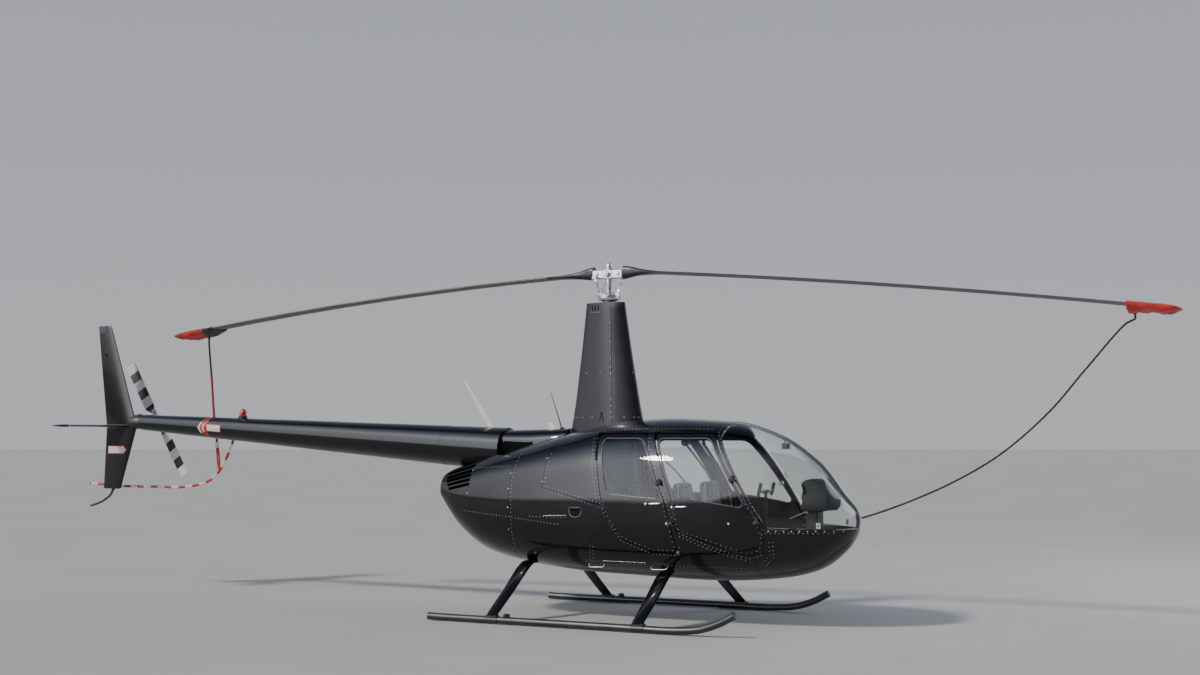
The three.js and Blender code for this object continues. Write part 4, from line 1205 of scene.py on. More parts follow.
put("guard_tube", guard, [guard_red, guard_white], slot="guard_paint", replaces=["tail_guard"],
    indices=band_indices(guard, guard_stripe))
put("guard_strut", joined(
    tube(((-6.180, 0.138, 1.098), (-6.180, 0.010, 1.098)), 0.009, 12),
    tube(((-6.165, 0.150, 1.098), (-6.195, 0.150, 1.098)), 0.019, 16),
    block(-6.215, -6.145, 0.009, 0.014, 1.083, 1.120, 0.002),
    bolt((-6.203, 0.014, 1.108), (0, 1, 0), 0.004, 0.004),
    bolt((-6.157, 0.014, 1.108), (0, 1, 0), 0.004, 0.004),
), bare_alloy, slot="bare_alloy")
skid_line = even(catmull((
    (-6.160, 0, 1.082), (-6.200, 0, 1.010), (-6.290, 0, 0.950), (-6.400, 0, 0.905), (-6.470, 0, 0.888),
), 8), 0.012)
put("tail_skid_rod", joined(
    tube(skid_line, 0.0125, 14),
    lathe(((0, 0.012), (0.03, 0.010), (0.034, 0.004)), (-6.469, 0, 0.8885), (-0.97, 0, -0.24), 14),
    lathe(((-0.02, 0.017), (0.004, 0.019)), (-6.163, 0, 1.074), (0.35, 0, 1), 16),
), satin_black, slot="skid_black", replaces=["tail_skid"])

# Beacon and antennas

BEACON_X = -4.352
beacon_z = float(cone_z(BEACON_X) + cone_radius(BEACON_X))
put("beacon_base", lathe((
    (-0.006, 0.048), (0.016, 0.048), (0.020, 0.045), (0.024, 0.041),
), (BEACON_X, 0, beacon_z), (0.06, 0, 1), 32), satin_black, slot="skid_black")
lens = [(0.022, 0.038), (0.045, 0.038)]
lens += [(0.045 + 0.052 * math.sin(a), 0.038 * math.cos(a) ** 0.8) for a in np.linspace(0.2, 1.45, 9)]
put("beacon_lens", lathe(lens, (BEACON_X, 0, beacon_z), (0.06, 0, 1), 32), lens_red, slot="lens_red",
    replaces=["beacon"])


def mast_blade(name, base, tip, base_half, tip_half, thick, material, slot, replaces):
    """An upright antenna of oval section from its base to its tip, both as (x, z)."""
    rings = []
    for t in np.linspace(0, 1, 10):
        x, z = mix(base, tip, t)
        reach = base_half * (1 - t) + tip_half * t
        depth = thick * (1 - 0.55 * t)
        rings.append([(x + reach * math.cos(a), depth * math.sin(a), z) for a in turn_angles(16)])
    last = rings[-1]
    middle = np.mean(last, axis=0)
    rings.append([tuple(middle + (np.array(p) - middle) * 0.5 + (0, 0, 0.004)) for p in last])
    put(name, loft(rings), material, slot=slot, replaces=replaces)


mast_blade("tall_antenna_blade", (-1.275, 1.712), (-1.585, 2.181), 0.046, 0.012, 0.012, antenna_white,
           "antenna_white", ["tall_antenna"])
mast_blade("whip_antenna", (-0.500, 1.712), (-0.622, 2.056), 0.008, 0.003, 0.004, satin_black,
           "skid_black", ["thin_antenna"])
mast_blade("small_fin_antenna", (-0.600, 1.700), (-0.640, 1.771), 0.055, 0.022, 0.008, antenna_white,
           "antenna_white", ["fin_antenna"])
put("antenna_feet", joined(
    lathe(((-0.012, 0.030), (0.006, 0.030), (0.010, 0.020), (0.016, 0.012)), (-0.503, 0, 1.716),
          (-0.3, 0, 1), 20),
    slab(((-1.345, 1.70), (-1.215, 1.70), (-1.225, 1.722), (-1.335, 1.735)), -0.024, 0.024, 0.004),
), satin_black, slot="skid_black")

# Main rotor

ROTOR_AZIMUTH = 2.9
ROTOR_RADIUS = 5.030
HUB_Z = 3.165
COVER_OUTER = 5.070
BLADE_ROWS = (
    {"name": "fore", "turn": 0, "base": 3.185, "slope": -0.070, "bend": -0.0065,
     "tab_radius": 4.700, "tab_z": 2.632,
     "cover": ((4.655, 0.140, 0.024, 0.068), (4.740, 0.146, 0.025, 0.060), (4.835, 0.148, 0.026, 0.048),
               (4.930, 0.146, 0.026, 0.058), (5.000, 0.138, 0.024, 0.044), (5.038, 0.112, 0.018, 0.022),
               (5.070, 0.050, 0.006, 0.006))},
    {"name": "aft", "turn": 180, "base": 3.165, "slope": -0.035, "bend": -0.0112,
     "tab_radius": 4.625, "tab_z": 2.665,
     "cover": ((4.540, 0.136, 0.019, 0.020), (4.585, 0.138, 0.021, 0.045), (4.625, 0.141, 0.023, 0.072),
               (4.670, 0.143, 0.025, 0.056), (4.760, 0.146, 0.026, 0.054), (4.880, 0.147, 0.026, 0.060),
               (4.970, 0.140, 0.024, 0.044), (5.038, 0.112, 0.018, 0.022), (5.070, 0.050, 0.006, 0.006))},
)
CHORD = 0.254


def on_rotor(part, turn=0):
    """A part made along +X, turned with its blade about the mast."""
    return turned(part, ROTOR_AZIMUTH + turn)


def blade_z(row, r):
    """Height of a blade's middle, which droops outwards."""
    return row["base"] + row["slope"] * r + row["bend"] * r * r


def blade_ring(row, r, count=36):
    """A blade section at the radius r: a rounded grip inboard, a wing section outboard."""
    angles = 2 * math.pi * np.arange(count) / count
    share = (1 + np.cos(angles)) / 2
    wing_y = CHORD * (share - 0.72)
    wing_z = np.sign(np.round(np.sin(angles), 9)) * wing_half(1 - share) * 0.0305
    width = np.interp(r, (0.15, 0.24, 0.34, 0.46), (0.046, 0.044, 0.056, 0.086))
    height = np.interp(r, (0.15, 0.20, 0.30, 0.40, 0.50), (0.062, 0.056, 0.036, 0.024, 0.018))
    middle = np.interp(r, (0.20, 0.46), (0.0, -0.030))
    grip_y = middle + width * np.sign(np.cos(angles)) * np.abs(np.cos(angles)) ** 0.7
    grip_z = height * np.sign(np.sin(angles)) * np.abs(np.sin(angles)) ** 0.7
    t = min(max((r - 0.40) / 0.20, 0), 1)
    t = t * t * (3 - 2 * t)
    y = grip_y * (1 - t) + wing_y * t
    z = grip_z * (1 - t) + wing_z * t
    root = min(max((r - 0.15) / 0.15, 0), 1)
    lift = HUB_Z * (1 - root) + blade_z(row, r) * root
    return [(r, y[i], lift + z[i]) for i in range(count)]


for row in BLADE_ROWS:
    stations = list(np.linspace(0.152, 0.62, 20)) + list(np.arange(0.75, ROTOR_RADIUS, 0.15))
    body = loft([blade_ring(row, r) for r in stations + [ROTOR_RADIUS]])

    def blade_paint(middle):
        if middle[0] < 0.40:
            return 2
        if middle[0] > 0.62 and middle[1] > 0.052:
            return 1
        return 0

    put(f"rotor_blade_{row['name']}", on_rotor(body, row["turn"]), [blade_dark, worn_edge, blade_black],
        "main_rotor", "blade_dark", [f"blade_{row['name']}"],
        indices=band_indices(body, blade_paint))

# Tip covers: cloth socks with a seam, pulled in by their hem, and the strap's loop

rng = np.random.default_rng(7)
for row in BLADE_ROWS:
    cover = np.array(row["cover"])
    rings = []
    stations = np.linspace(cover[0, 0], COVER_OUTER, 56)
    waves = rng.uniform(-1, 1, (7, 3))
    for k, r in enumerate(stations):
        t = k / (len(stations) - 1)
        half_width, over, under = read_table(cover, r, (1, 2, 3))
        ring = []
        for a in turn_angles(48):
            c, s = math.cos(a), math.sin(a)
            fold = sum(
                w[0] * math.sin((n + 2) * a + 9 * w[1] * t * (n + 1) + 6 * w[2])
                for n, w in enumerate(waves)
            )
            narrow = 1 - 0.42 * max(-s, 0) ** 1.6 * under / 0.07
            y = -CHORD * 0.22 + half_width * narrow * math.copysign(abs(c) ** 0.72, c)
            y += half_width * 0.012 * fold * c
            rise = math.copysign(abs(s) ** 0.66, s) * (over if s > 0 else under)
            ring.append((r, y, blade_z(row, r) + rise * (1 + (0.06 if rise > 0 else 0.10) * fold) - 0.001))
        rings.append(ring)
    tab = row["tab_radius"]
    top = blade_z(row, tab) - 0.052
    loop = slab(
        ((tab - 0.022, top), (tab + 0.022, top), (tab + 0.010, row["tab_z"]),
         (tab - 0.010, row["tab_z"])), -0.009, 0.009, 0.003,
    )
    hem = [tube(rings[k], 0.0024, 6, closed=True) for k in (1, 4)]
    seam = tube([ring[36] for ring in rings[2:-2]], 0.0026, 6)
    sock = joined(loft(rings), loop, *hem, seam)
    yoke = row["name"] == "aft"
    inks = band_indices(
        sock, lambda middle: 1 if yoke and middle[0] < 4.684 - 0.2 * abs(middle[1] + 0.056) else 0,
    )
    put(f"tip_cover_{row['name']}", on_rotor(sock, row["turn"]), [red_cloth, strap_black],
        "main_rotor", "cover_red", [f"cover_{row['name']}"], sharp=60, indices=inks)

# Mast, swashplate, links and hub

mast = joined(
    lathe(((0.0, 0.032), (0.412, 0.032)), (0, 0, 2.7005), (0, 0, 1), 32),
    lathe(((0, 0.060), (0.018, 0.066), (0.024, 0.060)), (0, 0, 2.882), (0, 0, 1), 32),
    lathe((
        (0.0, 0.070), (0.006, 0.096), (0.020, 0.104), (0.026, 0.104), (0.028, 0.098), (0.033, 0.098),
        (0.035, 0.104), (0.050, 0.104), (0.056, 0.092), (0.060, 0.060), (0.075, 0.048),
    ), (0, 0, 2.905), (0, 0, 1), 40),
    ring_of_bolts((0, 0, 2.960), (0, 0, 1), (0.9, 0.3, 0), 6, 0.080, 0.005, 0.006),
)
links = []
for side in BOTH_SIDES:
    low, high = Vector((0.088 * side, 0, 2.966)), Vector((0.110 * side, 0.060 * side, 3.098))
    link_way = (high - low).normalized()
    links += [
        tube((low, high), 0.0075, 12),
        lathe(((0.022, 0.011), (0.040, 0.011)), low, link_way, 6),
        lathe(((0.100, 0.011), (0.118, 0.011)), low, link_way, 6),
        lathe(((-0.009, 0.013), (0.009, 0.013)), low, (0, 1, 0), 16),
        lathe(((-0.009, 0.013), (0.009, 0.013)), high, (0, 1, 0), 16),
        slab(((0.060 * side, 2.945), (0.106 * side, 2.945), (0.100 * side, 2.982),
              (0.066 * side, 2.975)), -0.010, 0.010, 0.002),
        tube(((-0.010, 0.070 * side, 2.966), (-0.034, 0.090 * side, 3.020), (-0.012, 0.048 * side, 3.066)),
             0.008, 8),
    ]
put("mast_and_swashplate", on_rotor(joined(mast, *links)), bare_alloy, "main_rotor", "bare_alloy",
    ["rotor_mast"])

forks = []
for side in BOTH_SIDES:
    x0, x1 = sorted((0.046 * side, 0.150 * side))
    forks += [
        block(x0, x1, -0.047, -0.033, HUB_Z - 0.048, HUB_Z + 0.026, 0.004),
        block(x0, x1, 0.033, 0.047, HUB_Z - 0.048, HUB_Z + 0.026, 0.004),
        *bolt_pair((0.108 * side, 0.047, HUB_Z - 0.010), 0.017, 0.018),
        tube(((0.120 * side, 0.050 * side, 3.128), (0.112 * side, 0.066 * side, 3.104)), 0.012, 10),
        block(*sorted((0.098 * side, 0.145 * side)), *sorted((0.040 * side, 0.074 * side)), 3.108, 3.136,
              0.004),
    ]
head = joined(
    block(-0.052, 0.052, -0.047, 0.047, HUB_Z - 0.052, HUB_Z + 0.028, 0.005),
    lathe(((-0.086, 0.018), (-0.084, 0.026), (-0.048, 0.028), (0.048, 0.028), (0.084, 0.026),
           (0.086, 0.018)), (0, 0, HUB_Z - 0.010), (0, 1, 0), 24),
    *bolt_pair((0, 0.084, HUB_Z - 0.010), 0.021, 0.016),
    lathe(((0.018, 0.046), (0.030, 0.046), (0.036, 0.038), (0.062, 0.038), (0.066, 0.030),
           (0.088, 0.028), (0.094, 0.020)), (0, 0, HUB_Z), (0, 0, 1), 32),
    ring_of_bolts((0, 0, HUB_Z + 0.030), (0, 0, 1), (1, 0.4, 0), 4, 0.040, 0.006, 0.008),
    *forks,
)
put("rotor_head", on_rotor(head), bare_alloy, "main_rotor", "bare_alloy", ["rotor_hub"])

# Mast fairing

FAIRING = (
    (1.700, 0.372, -0.400, 0.132), (1.960, 0.318, -0.352, 0.122), (2.420, 0.238, -0.290, 0.104),
    (2.780, 0.182, -0.248, 0.092), (2.890, 0.165, -0.236, 0.086),
)


def fairing_point(z, angle, out=0.0):
    """A point of the mast fairing. The angle runs from the aft edge over port to the blunt front."""
    nose, tail, half = read_table(FAIRING, z, (1, 2, 3))
    share = (1 + math.cos(angle)) / 2
    fullness = 1.58 * math.sqrt(share) * (1 - share) ** 0.85 + 0.63 * share * (1 - share)
    side = math.copysign(1, math.sin(angle)) if abs(math.sin(angle)) > 1e-9 else 0
    return Vector((nose + (tail - nose) * share, side * (half * fullness + out), z))


def fairing_normal(z, angle):
    """The unit normal of the mast fairing, either way out."""
    across = fairing_point(z, angle + 0.02) - fairing_point(z, angle - 0.02)
    up = fairing_point(z + 0.01, angle) - fairing_point(z - 0.01, angle)
    return across.cross(up).normalized()


foot = []
for angle in turn_angles(72):
    point = fairing_point(1.700, angle)
    foot.append(Vector((point.x, point.y, min(1.702, pod_top(point.x) - 0.030))))
rings = [foot]
for z in (*np.linspace(1.715, 2.884, 22), 2.890):
    eased = 0.985 if z == 2.890 else 1.0
    ring = [fairing_point(z, angle) for angle in turn_angles(72)]
    middle = Vector((-0.04, 0, z))
    rings.append([middle + (p - middle) * eased for p in ring])
put("mast_fairing_skin", loft(rings), charcoal, slot="charcoal", replaces=["mast_fairing"])

# Dorsal fairing between the mast fairing and the tail cone

DORSAL = (
    (-1.110, 0.150, 1.706, 1.600), (-0.800, 0.160, 1.712, 1.585), (-0.500, 0.150, 1.718, 1.610),
    (-0.405, 0.130, 1.722, 1.630),
)
rings = []
for x in np.linspace(-1.110, -0.405, 14):
    half, top, low = read_table(DORSAL, x, (1, 2, 3))
    edge = [
        (half, low - 0.10), (half, low), (half * 0.90, low + (top - low) * 0.42),
        (half * 0.62, low + (top - low) * 0.80), (half * 0.25, top),
    ]
    outline = [(-y, z) for y, z in edge] + edge[::-1]
    rings.append([(x, y, z) for y, z in rounded(outline, 0.03, 3)])
dorsal_skin = loft(rings)
# The lower aft band of its skin is near-black: painted shade, standing in for a dark recess there
painted_shade_faces = band_indices(dorsal_skin, lambda p: 1 if p[2] < 1.596 and p[0] < -0.74 else 0)
put("dorsal_fairing_skin", dorsal_skin, [gloss_black, shade_and_seam_black], slot="gloss_black",
    replaces=["dorsal_fairing"], indices=painted_shade_faces)

# Landing gear

TRACK = 1.090
SKID_R = 0.032
SKID_Z = 0.037
SKID_PATH = (
    (-1.250, 0, SKID_Z + 0.002), (-1.100, 0, SKID_Z), (-0.300, 0, SKID_Z), (0.600, 0, SKID_Z),
    (1.200, 0, SKID_Z), (1.420, 0, SKID_Z + 0.022), (1.600, 0, SKID_Z + 0.082),
    (1.720, 0, SKID_Z + 0.145),
)
GEAR = (
    {"name": "front_gear_bow", "x": 0.815, "foot": 0.848, "belt": 0.468},
    {"name": "rear_gear_bow", "x": -0.596, "foot": -0.591, "belt": 0.505},
)
line = even(catmull(SKID_PATH, 12), 0.03)
tip = Vector(line[-1])
way = (Vector(line[-1]) - Vector(line[-2])).normalized()
tail = Vector(line[0])
for hand, side in HANDS.items():
    shoes = []
    for x0, x1 in ((-0.800, -0.380), (0.620, 1.040)):
        shoes.append(block(x0, x1, -0.025, 0.025, 0.0, 0.012, 0.003))
        shoes.append(block(x0 + 0.01, x1 - 0.01, -0.019, 0.019, 0.010, 0.026, 0.002))
    feet = []
    for bow in GEAR:
        x = bow["foot"]
        feet += [
            block(x - 0.062, x + 0.062, -0.036, 0.036, 0.050, 0.074, 0.006),
            lathe(((-0.062, 0.037), (0.062, 0.037)), (x, 0, SKID_Z), (1, 0, 0), 28),
        ]
        for dx in (-0.046, 0.046):
            for dy in (-0.024, 0.024):
                feet.append(bolt((x + dx, dy, 0.073), (0, 0, 1), 0.006, 0.007))
    parts = [
        tube(line, SKID_R, 24),
        lathe(((-0.006, 0.0335), (0.010, 0.0335), (0.016, 0.028), (0.018, 0.012)), tip, way, 24),
        lathe(((-0.006, 0.0335), (0.008, 0.0335), (0.012, 0.026)), tail, (-1, 0, 0), 24),
        lathe(((0, 0.030), (0.024, 0.030), (0.026, 0.024), (0.034, 0.024), (0.034, 0.014),
               (0.030, 0.012)), (-0.440, 0, 0.062), (0, 0, 1), 24),
        *feet,
        *shoes,
    ]
    put(f"skid_tube_{hand}", moved(joined(*parts), (0, side * TRACK, 0)), skid_paint,
        slot="skid_black", replaces=[f"skid_{hand}"])
for bow in GEAR:
    top = TRACK - 0.560
    way_points = [
        (bow["foot"], TRACK, 0.068, 0.86), (bow["foot"] - 0.004, TRACK - 0.030, 0.094, 0.87),
        ((bow["foot"] + bow["x"]) / 2, (TRACK + top) / 2, (0.062 + bow["belt"] - 0.042) / 2, 0.93),
        (bow["x"], top + 0.04, bow["belt"] - 0.068, 1.0), (bow["x"], top - 0.02, bow["belt"] - 0.033, 1.0),
        (bow["x"], top - 0.070, bow["belt"] - 0.008, 1.0), (bow["x"], top - 0.170, bow["belt"], 1.0),
    ]
    half_line = [np.array(p) for p in way_points]
    full = half_line + [p * (1, -1, 1, 1) for p in reversed(half_line)]
    rings = []
    for k, (x, y, z, size) in enumerate(full):
        before, after = full[max(k - 1, 0)], full[min(k + 1, len(full) - 1)]
        leg_way = Vector((after[1] - before[1], after[2] - before[2])).normalized()
        if k == 0:
            leg_way = Vector((-0.75, 0.66))
        if k == len(full) - 1:
            leg_way = Vector((-0.75, -0.66))
        ring = []
        for a in turn_angles(28):
            c = math.cos(a)
            chord = (0.062 if c > 0 else 0.070) * size
            across = 0.019 * size * math.sin(a) * (1 if c > 0 else 1 - 0.35 * c ** 2)
            ring.append((x + chord * c, y - leg_way.y * across, z + leg_way.x * across))
        rings.append(ring)
    put(f"{bow['name']}_legs", loft(rings), gloss_black, slot="gloss_black", replaces=[bow["name"]])


# Places on the pod's skin


def skin_at(x, z, hand=STARBOARD, out=0.0):
    """A point over the skin at a side-view place, and the skin's normal there."""
    x, z = np.array([float(x)]), np.array([float(z)])
    point = pod_point(x, pod_angle(x, z))
    normal = pod_normal(point)[0]
    point = point[0]
    if hand == PORT:
        point = point * MIRROR_Y
        normal = normal * MIRROR_Y
    return Vector(point + normal * out), Vector(normal)


def skin_line(points, hand=STARBOARD, out=0.0, step=0.02, closed=False):
    """A line on the skin through side-view places."""
    side_view = dense(points, step, closed)
    x, z = side_view[:, 0], side_view[:, 1]
    line = pod_point(x, pod_angle(x, z))
    normal = pod_normal(line)
    if hand == PORT:
        line = line * MIRROR_Y
        normal = normal * MIRROR_Y
    return line + normal * out


def along(points, pitch, inset=0.0):
    """Side-view places a pitch apart along a side-view line."""
    points = np.array(points, float)
    run = run_along(points)
    count = max(1, round((run[-1] - 2 * inset) / pitch))
    at = np.linspace(inset, run[-1] - inset, count + 1)
    return list(zip(np.interp(at, run, points[:, 0]), np.interp(at, run, points[:, 1])))


def around(part, hand):
    """A part made for starboard, on the side it is for."""
    return part if hand == STARBOARD else mirrored(part)


def stud(profile, x, z, side, sides=20, out=0.0):
    """A turned fitting that stands on the skin at a side-view place."""
    place, normal = skin_at(x, z, side, out)
    return lathe(profile, place, normal, sides)


def patch(surface, outline, side, levels):
    """A thin shape over a surface, between two distances from it."""
    return loft([[surface(x, z, side, out)[0] for x, z in outline] for out in levels])


def box_corners(x, z, half_x, half_z):
    """A rectangle round a side-view place."""
    return [(x + half_x * u, z + half_z * v) for u, v in ((-1, -1), (1, -1), (1, 1), (-1, 1))]


# Windshield: the bow along its middle

BOW_TURN = 2.2
BOW_REACH = 0.2249


def bow_places(start, end, count):
    """Places along X that close up towards the nose."""
    return BOW_TURN + BOW_REACH * np.sin(np.linspace(start, end, count)[1:] * math.pi / 2)


bow_x = np.concatenate([np.linspace(1.290, BOW_TURN, 30), bow_places(0, 1, 26)])
bow_line = [(x, pod_top(x)) for x in bow_x]
for x in bow_places(1, 0.5, 30):
    z = pod_keel(x)
    if z < NOSE_SEAM_Z + SEAM:
        break
    bow_line.append((x, z))
bow_line = np.array(bow_line)
slope = np.gradient(bow_line, axis=0)
bow_normal = np.stack([-slope[:, 1], slope[:, 0]], -1) / np.linalg.norm(slope, axis=1)[:, None]
rings = []
for (x, z), (nx, nz) in zip(bow_line, bow_normal):
    rings.append([
        (x + nx * out, y, z + nz * out)
        for y, out in ((-0.023, -0.004), (-0.019, 0.0), (0.019, 0.0), (0.023, -0.004),
                       (0.023, -0.012), (0.013, -0.029), (-0.013, -0.029), (-0.023, -0.012))
    ])
put("windshield_bow", loft(rings), gloss_black, slot="gloss_black")

# Hinges of the doors: knuckles on the doors between lugs of the frame

HINGES = {
    "front": {"upper": (1.508, 1.290), "lower": (1.731, 0.935), "y": 0.606, "reach": 0.040, "depth": 0.066},
    "rear": {"upper": (0.834, 1.250), "lower": (0.952, 0.905), "y": 0.654, "reach": 0.044, "depth": 0.040},
}
ARM_CORNERS = ((-1, -0.004), (1, -0.004), (1, 0.004), (-1, 0.004))
for end, hinge in HINGES.items():
    upper = Vector((hinge["upper"][0], -hinge["y"], hinge["upper"][1]))
    lower = Vector((hinge["lower"][0], -hinge["y"], hinge["lower"][1]))
    axis = (lower - upper).normalized()
    level = Vector((axis.z, 0, -axis.x))
    for hand, side in HANDS.items():
        moving, fixed = [], []
        for middle in (upper, lower):
            moving.append(lathe(((-0.015, 0.0078), (0.015, 0.0078)), middle, axis, 16))
            inward = Vector((0, hinge["depth"], 0))
            for sign in (-1, 1):
                start = middle + axis * sign * 0.0153
                lug = start + axis * sign * 0.006
                fixed.append(lathe(((0, 0.0078), (0.0117, 0.0078)), start, axis * sign, 16))
                fixed.append(tube((lug, lug + inward), 0.0055, 8))
            foot = middle + level * hinge["reach"]
            moving.append(loft([
                [place + axis * s * 0.013 + Vector((0, d, 0)) for s, d in ARM_CORNERS]
                for place in (middle, foot)
            ]))
            moving.append(loft([
                [foot + level * e + axis * s * 0.013 + depth for s, e in ARM_CORNERS]
                for depth in (Vector(), inward)
            ]))
        put(f"door_{end}_{hand}_knuckles", around(joined(*moving), side), satin_black,
            f"door_{end}_{hand}", "gloss_black")
        put(f"hinge_lugs_{end}_{hand}", around(joined(*fixed), side), satin_black, slot="gloss_black")

# Window gaskets, handles and door rivets

DOOR_DETAILS = (
    {"end": "front", "outline": front_door, "window": front_window,
     "handle": ((0.985, 1.040), (1.090, 1.044)), "lower": (1.469, 0.903)},
    {"end": "rear", "outline": rear_door, "window": rear_window,
     "handle": ((0.733, 1.062), (0.842, 1.066)), "lower": (0.900, 0.892)},
)
DOOR_RIVETS_TOP = 1.12
for row in DOOR_DETAILS:
    for hand, side in HANDS.items():
        door = f"door_{row['end']}_{hand}"
        gasket = skin_line(offset(row["window"], 0.004), side, 0.0005, 0.018, True)
        put(f"{door}_gasket", tube(gasket, 0.0045, 8, closed=True), bead_grey, door, "bare_alloy")
        inner = skin_line(offset(row["window"], 0.012), side, -0.031, 0.03, True)
        put(f"{door}_trim", tube(inner, 0.0070, 8, closed=True), trim_dark, door, "trim_dark")
        ends = [skin_at(x, z, side, 0.012)[0] for x, z in row["handle"]]
        normal = skin_at(*row["handle"][0], side)[1]
        run = [ends[0] - normal * 0.014, ends[0], ends[0].lerp(ends[1], 0.5) + normal * 0.004, ends[1],
               ends[1] - normal * 0.014]
        parts = [tube(even(catmull(run, 6), 0.008), 0.0055, 10)]
        x, z = row["handle"][0]
        parts.append(stud(((-0.002, 0.010), (0.004, 0.010), (0.006, 0.006)), x - 0.035, z - 0.004, side))
        parts.append(stud(((-0.002, 0.009), (0.004, 0.009), (0.006, 0.005)), *row["lower"], side))
        put(f"{door}_handle", joined(*parts), bare_alloy, door, "bare_alloy")
        rim = offset(row["outline"], -0.012)
        spots = along(np.vstack([rim, rim[:1]]), 0.045)
        # Door rivets in light metal: worn heads, partly painted highlight for their glints
        rivets(f"{door}_rivets", [skin_at(x, z, side) for x, z in spots if z < DOOR_RIVETS_TOP],
               wear_and_glint_metal, door, "bare_alloy", 0.0040, 0.0016)

# Fixed skin: rivet rows, seams' fasteners, steps and markers

RIVET_ROWS = (
    ((0.355, 0.860), (0.455, 0.730), (0.740, 0.622), (0.985, 0.618), (1.010, 0.700)),
    ((1.010, 0.815), (1.290, 0.708), (1.610, 0.604), (1.730, 0.640)),
    ((1.010, 0.785), (1.290, 0.678), (1.620, 0.574)),
    ((0.130, 0.690), (0.075, 0.500)),
    ((0.160, 0.680), (0.105, 0.490)),
    ((-0.330, 1.200), (0.290, 1.048)),
    ((-0.330, 1.165), (0.280, 1.013)),
    ((-0.706, 1.500), (-0.700, 1.030), (-0.700, 0.520)),
    ((-0.335, 1.500), (-0.335, 1.230)),
    ((-0.500, 0.925), (-0.105, 0.925)),
    ((-1.300, 0.960), (-0.790, 0.920), (-0.180, 0.860)),
    ((-1.240, 1.350), (-0.780, 1.375)),
    ((0.118, 1.640), (0.250, 1.080), (0.300, 0.930)),
    ((0.080, 1.640), (0.215, 1.060)),
    ((0.700, 0.520), (1.560, 0.520)),
    ((0.160, 0.505), (0.640, 0.530)),
    ((1.770, 0.830), (2.300, 0.828)),
    ((1.800, 0.760), (1.790, 0.640), (1.700, 0.560)),
    ((1.830, 0.760), (1.820, 0.630), (1.730, 0.545)),
    ((1.262, 1.690), (1.500, 1.360), (1.690, 1.010)),
    ((-0.340, 1.640), (0.120, 1.700), (0.620, 1.720), (1.200, 1.712)),
    ((1.275, 1.775), (1.268, 1.740), (1.262, 1.700)),
    ((0.655, 1.640), (0.890, 1.100), (0.975, 0.870)),
    ((0.628, 1.640), (0.862, 1.130)),
)
for hand, side in HANDS.items():
    places = [skin_at(x, z, side) for row in RIVET_ROWS for x, z in along(row, 0.036, 0.01)]
    # Skin rivets in light metal: worn heads, partly painted highlight for their glints
    rivets(f"skin_rivets_{hand}", places, wear_and_glint_metal, slot="bare_alloy", radius=0.0044, height=0.0018)
    screws = [skin_at(x, z, side) for x, z in along(((1.800, 0.846), (2.350, 0.846)), 0.062)]
    screws += [skin_at(x, z, side) for x, z in along(((1.314, 1.690), (1.319, 1.774)), 0.05)]
    fasteners = [(-0.735, 0.62), (-0.735, 0.80), (-0.735, 1.00), (-0.735, 1.17), (-0.735, 1.31),
                 (-0.365, 1.24), (-0.365, 1.45), (-1.22, 1.12), (-1.22, 1.33)]
    screws += [skin_at(x, z, side) for x, z in fasteners]
    rivets(f"skin_screws_{hand}", screws, bare_alloy, slot="bare_alloy", radius=0.0060, height=0.0022)

for hand, side in HANDS.items():
    bits = []
    for x in (0.060, 0.690):
        run = [skin_at(x + d, 0.512 + 0.02 * d, side, out)[0]
               for d, out in ((0, -0.004), (0.004, 0.030), (0.09, 0.036), (0.152, 0.030), (0.156, -0.004))]
        bits.append(tube(even(catmull(run, 8), 0.008), 0.005, 10))
    put(f"steps_{hand}", joined(*bits), bare_alloy, slot="bare_alloy")
    marker = patch(skin_at, box_corners(2.185, 0.893, 0.015, 0.024), side, (0.001, 0.004))
    put(f"screen_marker_{hand}", marker, antenna_white, slot="antenna_white")
    plug = stud(((0, 0.007), (0.0035, 0.007)), 2.185, 0.893, side, 16, 0.003)
    put(f"screen_plug_{hand}", plug, satin_black, slot="skid_black")
    drain = stud(((-0.004, 0.016), (0.003, 0.015), (0.006, 0.010)), 0.985, 0.640, side)
    put(f"drain_{hand}", drain, wear_and_glint_metal, slot="bare_alloy")

# Landing lights behind their cover

LIGHTS_X = 2.306
LIGHTS_Z = (0.768, 0.820)
CAN = ((0, 0.024), (0.012, 0.026), (0.014, 0.024))
LENS = ((0, 0.022), (0.003, 0.021), (0.006, 0.014), (0.007, 0.005))
lamp = [block(LIGHTS_X, LIGHTS_X + 0.010, -0.0475, 0.0475, 0.7385, 0.8475, 0.002)]
lamp += [lathe(CAN, (LIGHTS_X + 0.009, 0, z), (1, 0, 0), 28) for z in LIGHTS_Z]
put("landing_lamp_cans", joined(*lamp), bare_alloy, slot="bare_alloy")
lenses = [lathe(LENS, (LIGHTS_X + 0.0225, 0, z), (1, 0, 0), 28) for z in LIGHTS_Z]
put("landing_lamp_lenses", joined(*lenses), clear_glass, slot="glass", replaces=["landing_lights"])

# Cushions: inflated by cloth simulation, then sewn

seat_leather = finish_material(
    "seat_leather", (0.060, 0.066, 0.078), (0.088, 0.095, 0.110), 0.50, 0.08, patch=6.0, grain=50.0,
    bumps=((0.0015, 9.0), (0.0003, 260.0)), sheen=0.1,
)
seat_piping = finish_material(
    "seat_piping", (0.30, 0.31, 0.33), (0.38, 0.39, 0.41), 0.45, 0.06, patch=14.0, grain=80.0,
    bumps=((0.0002, 300.0),),
)


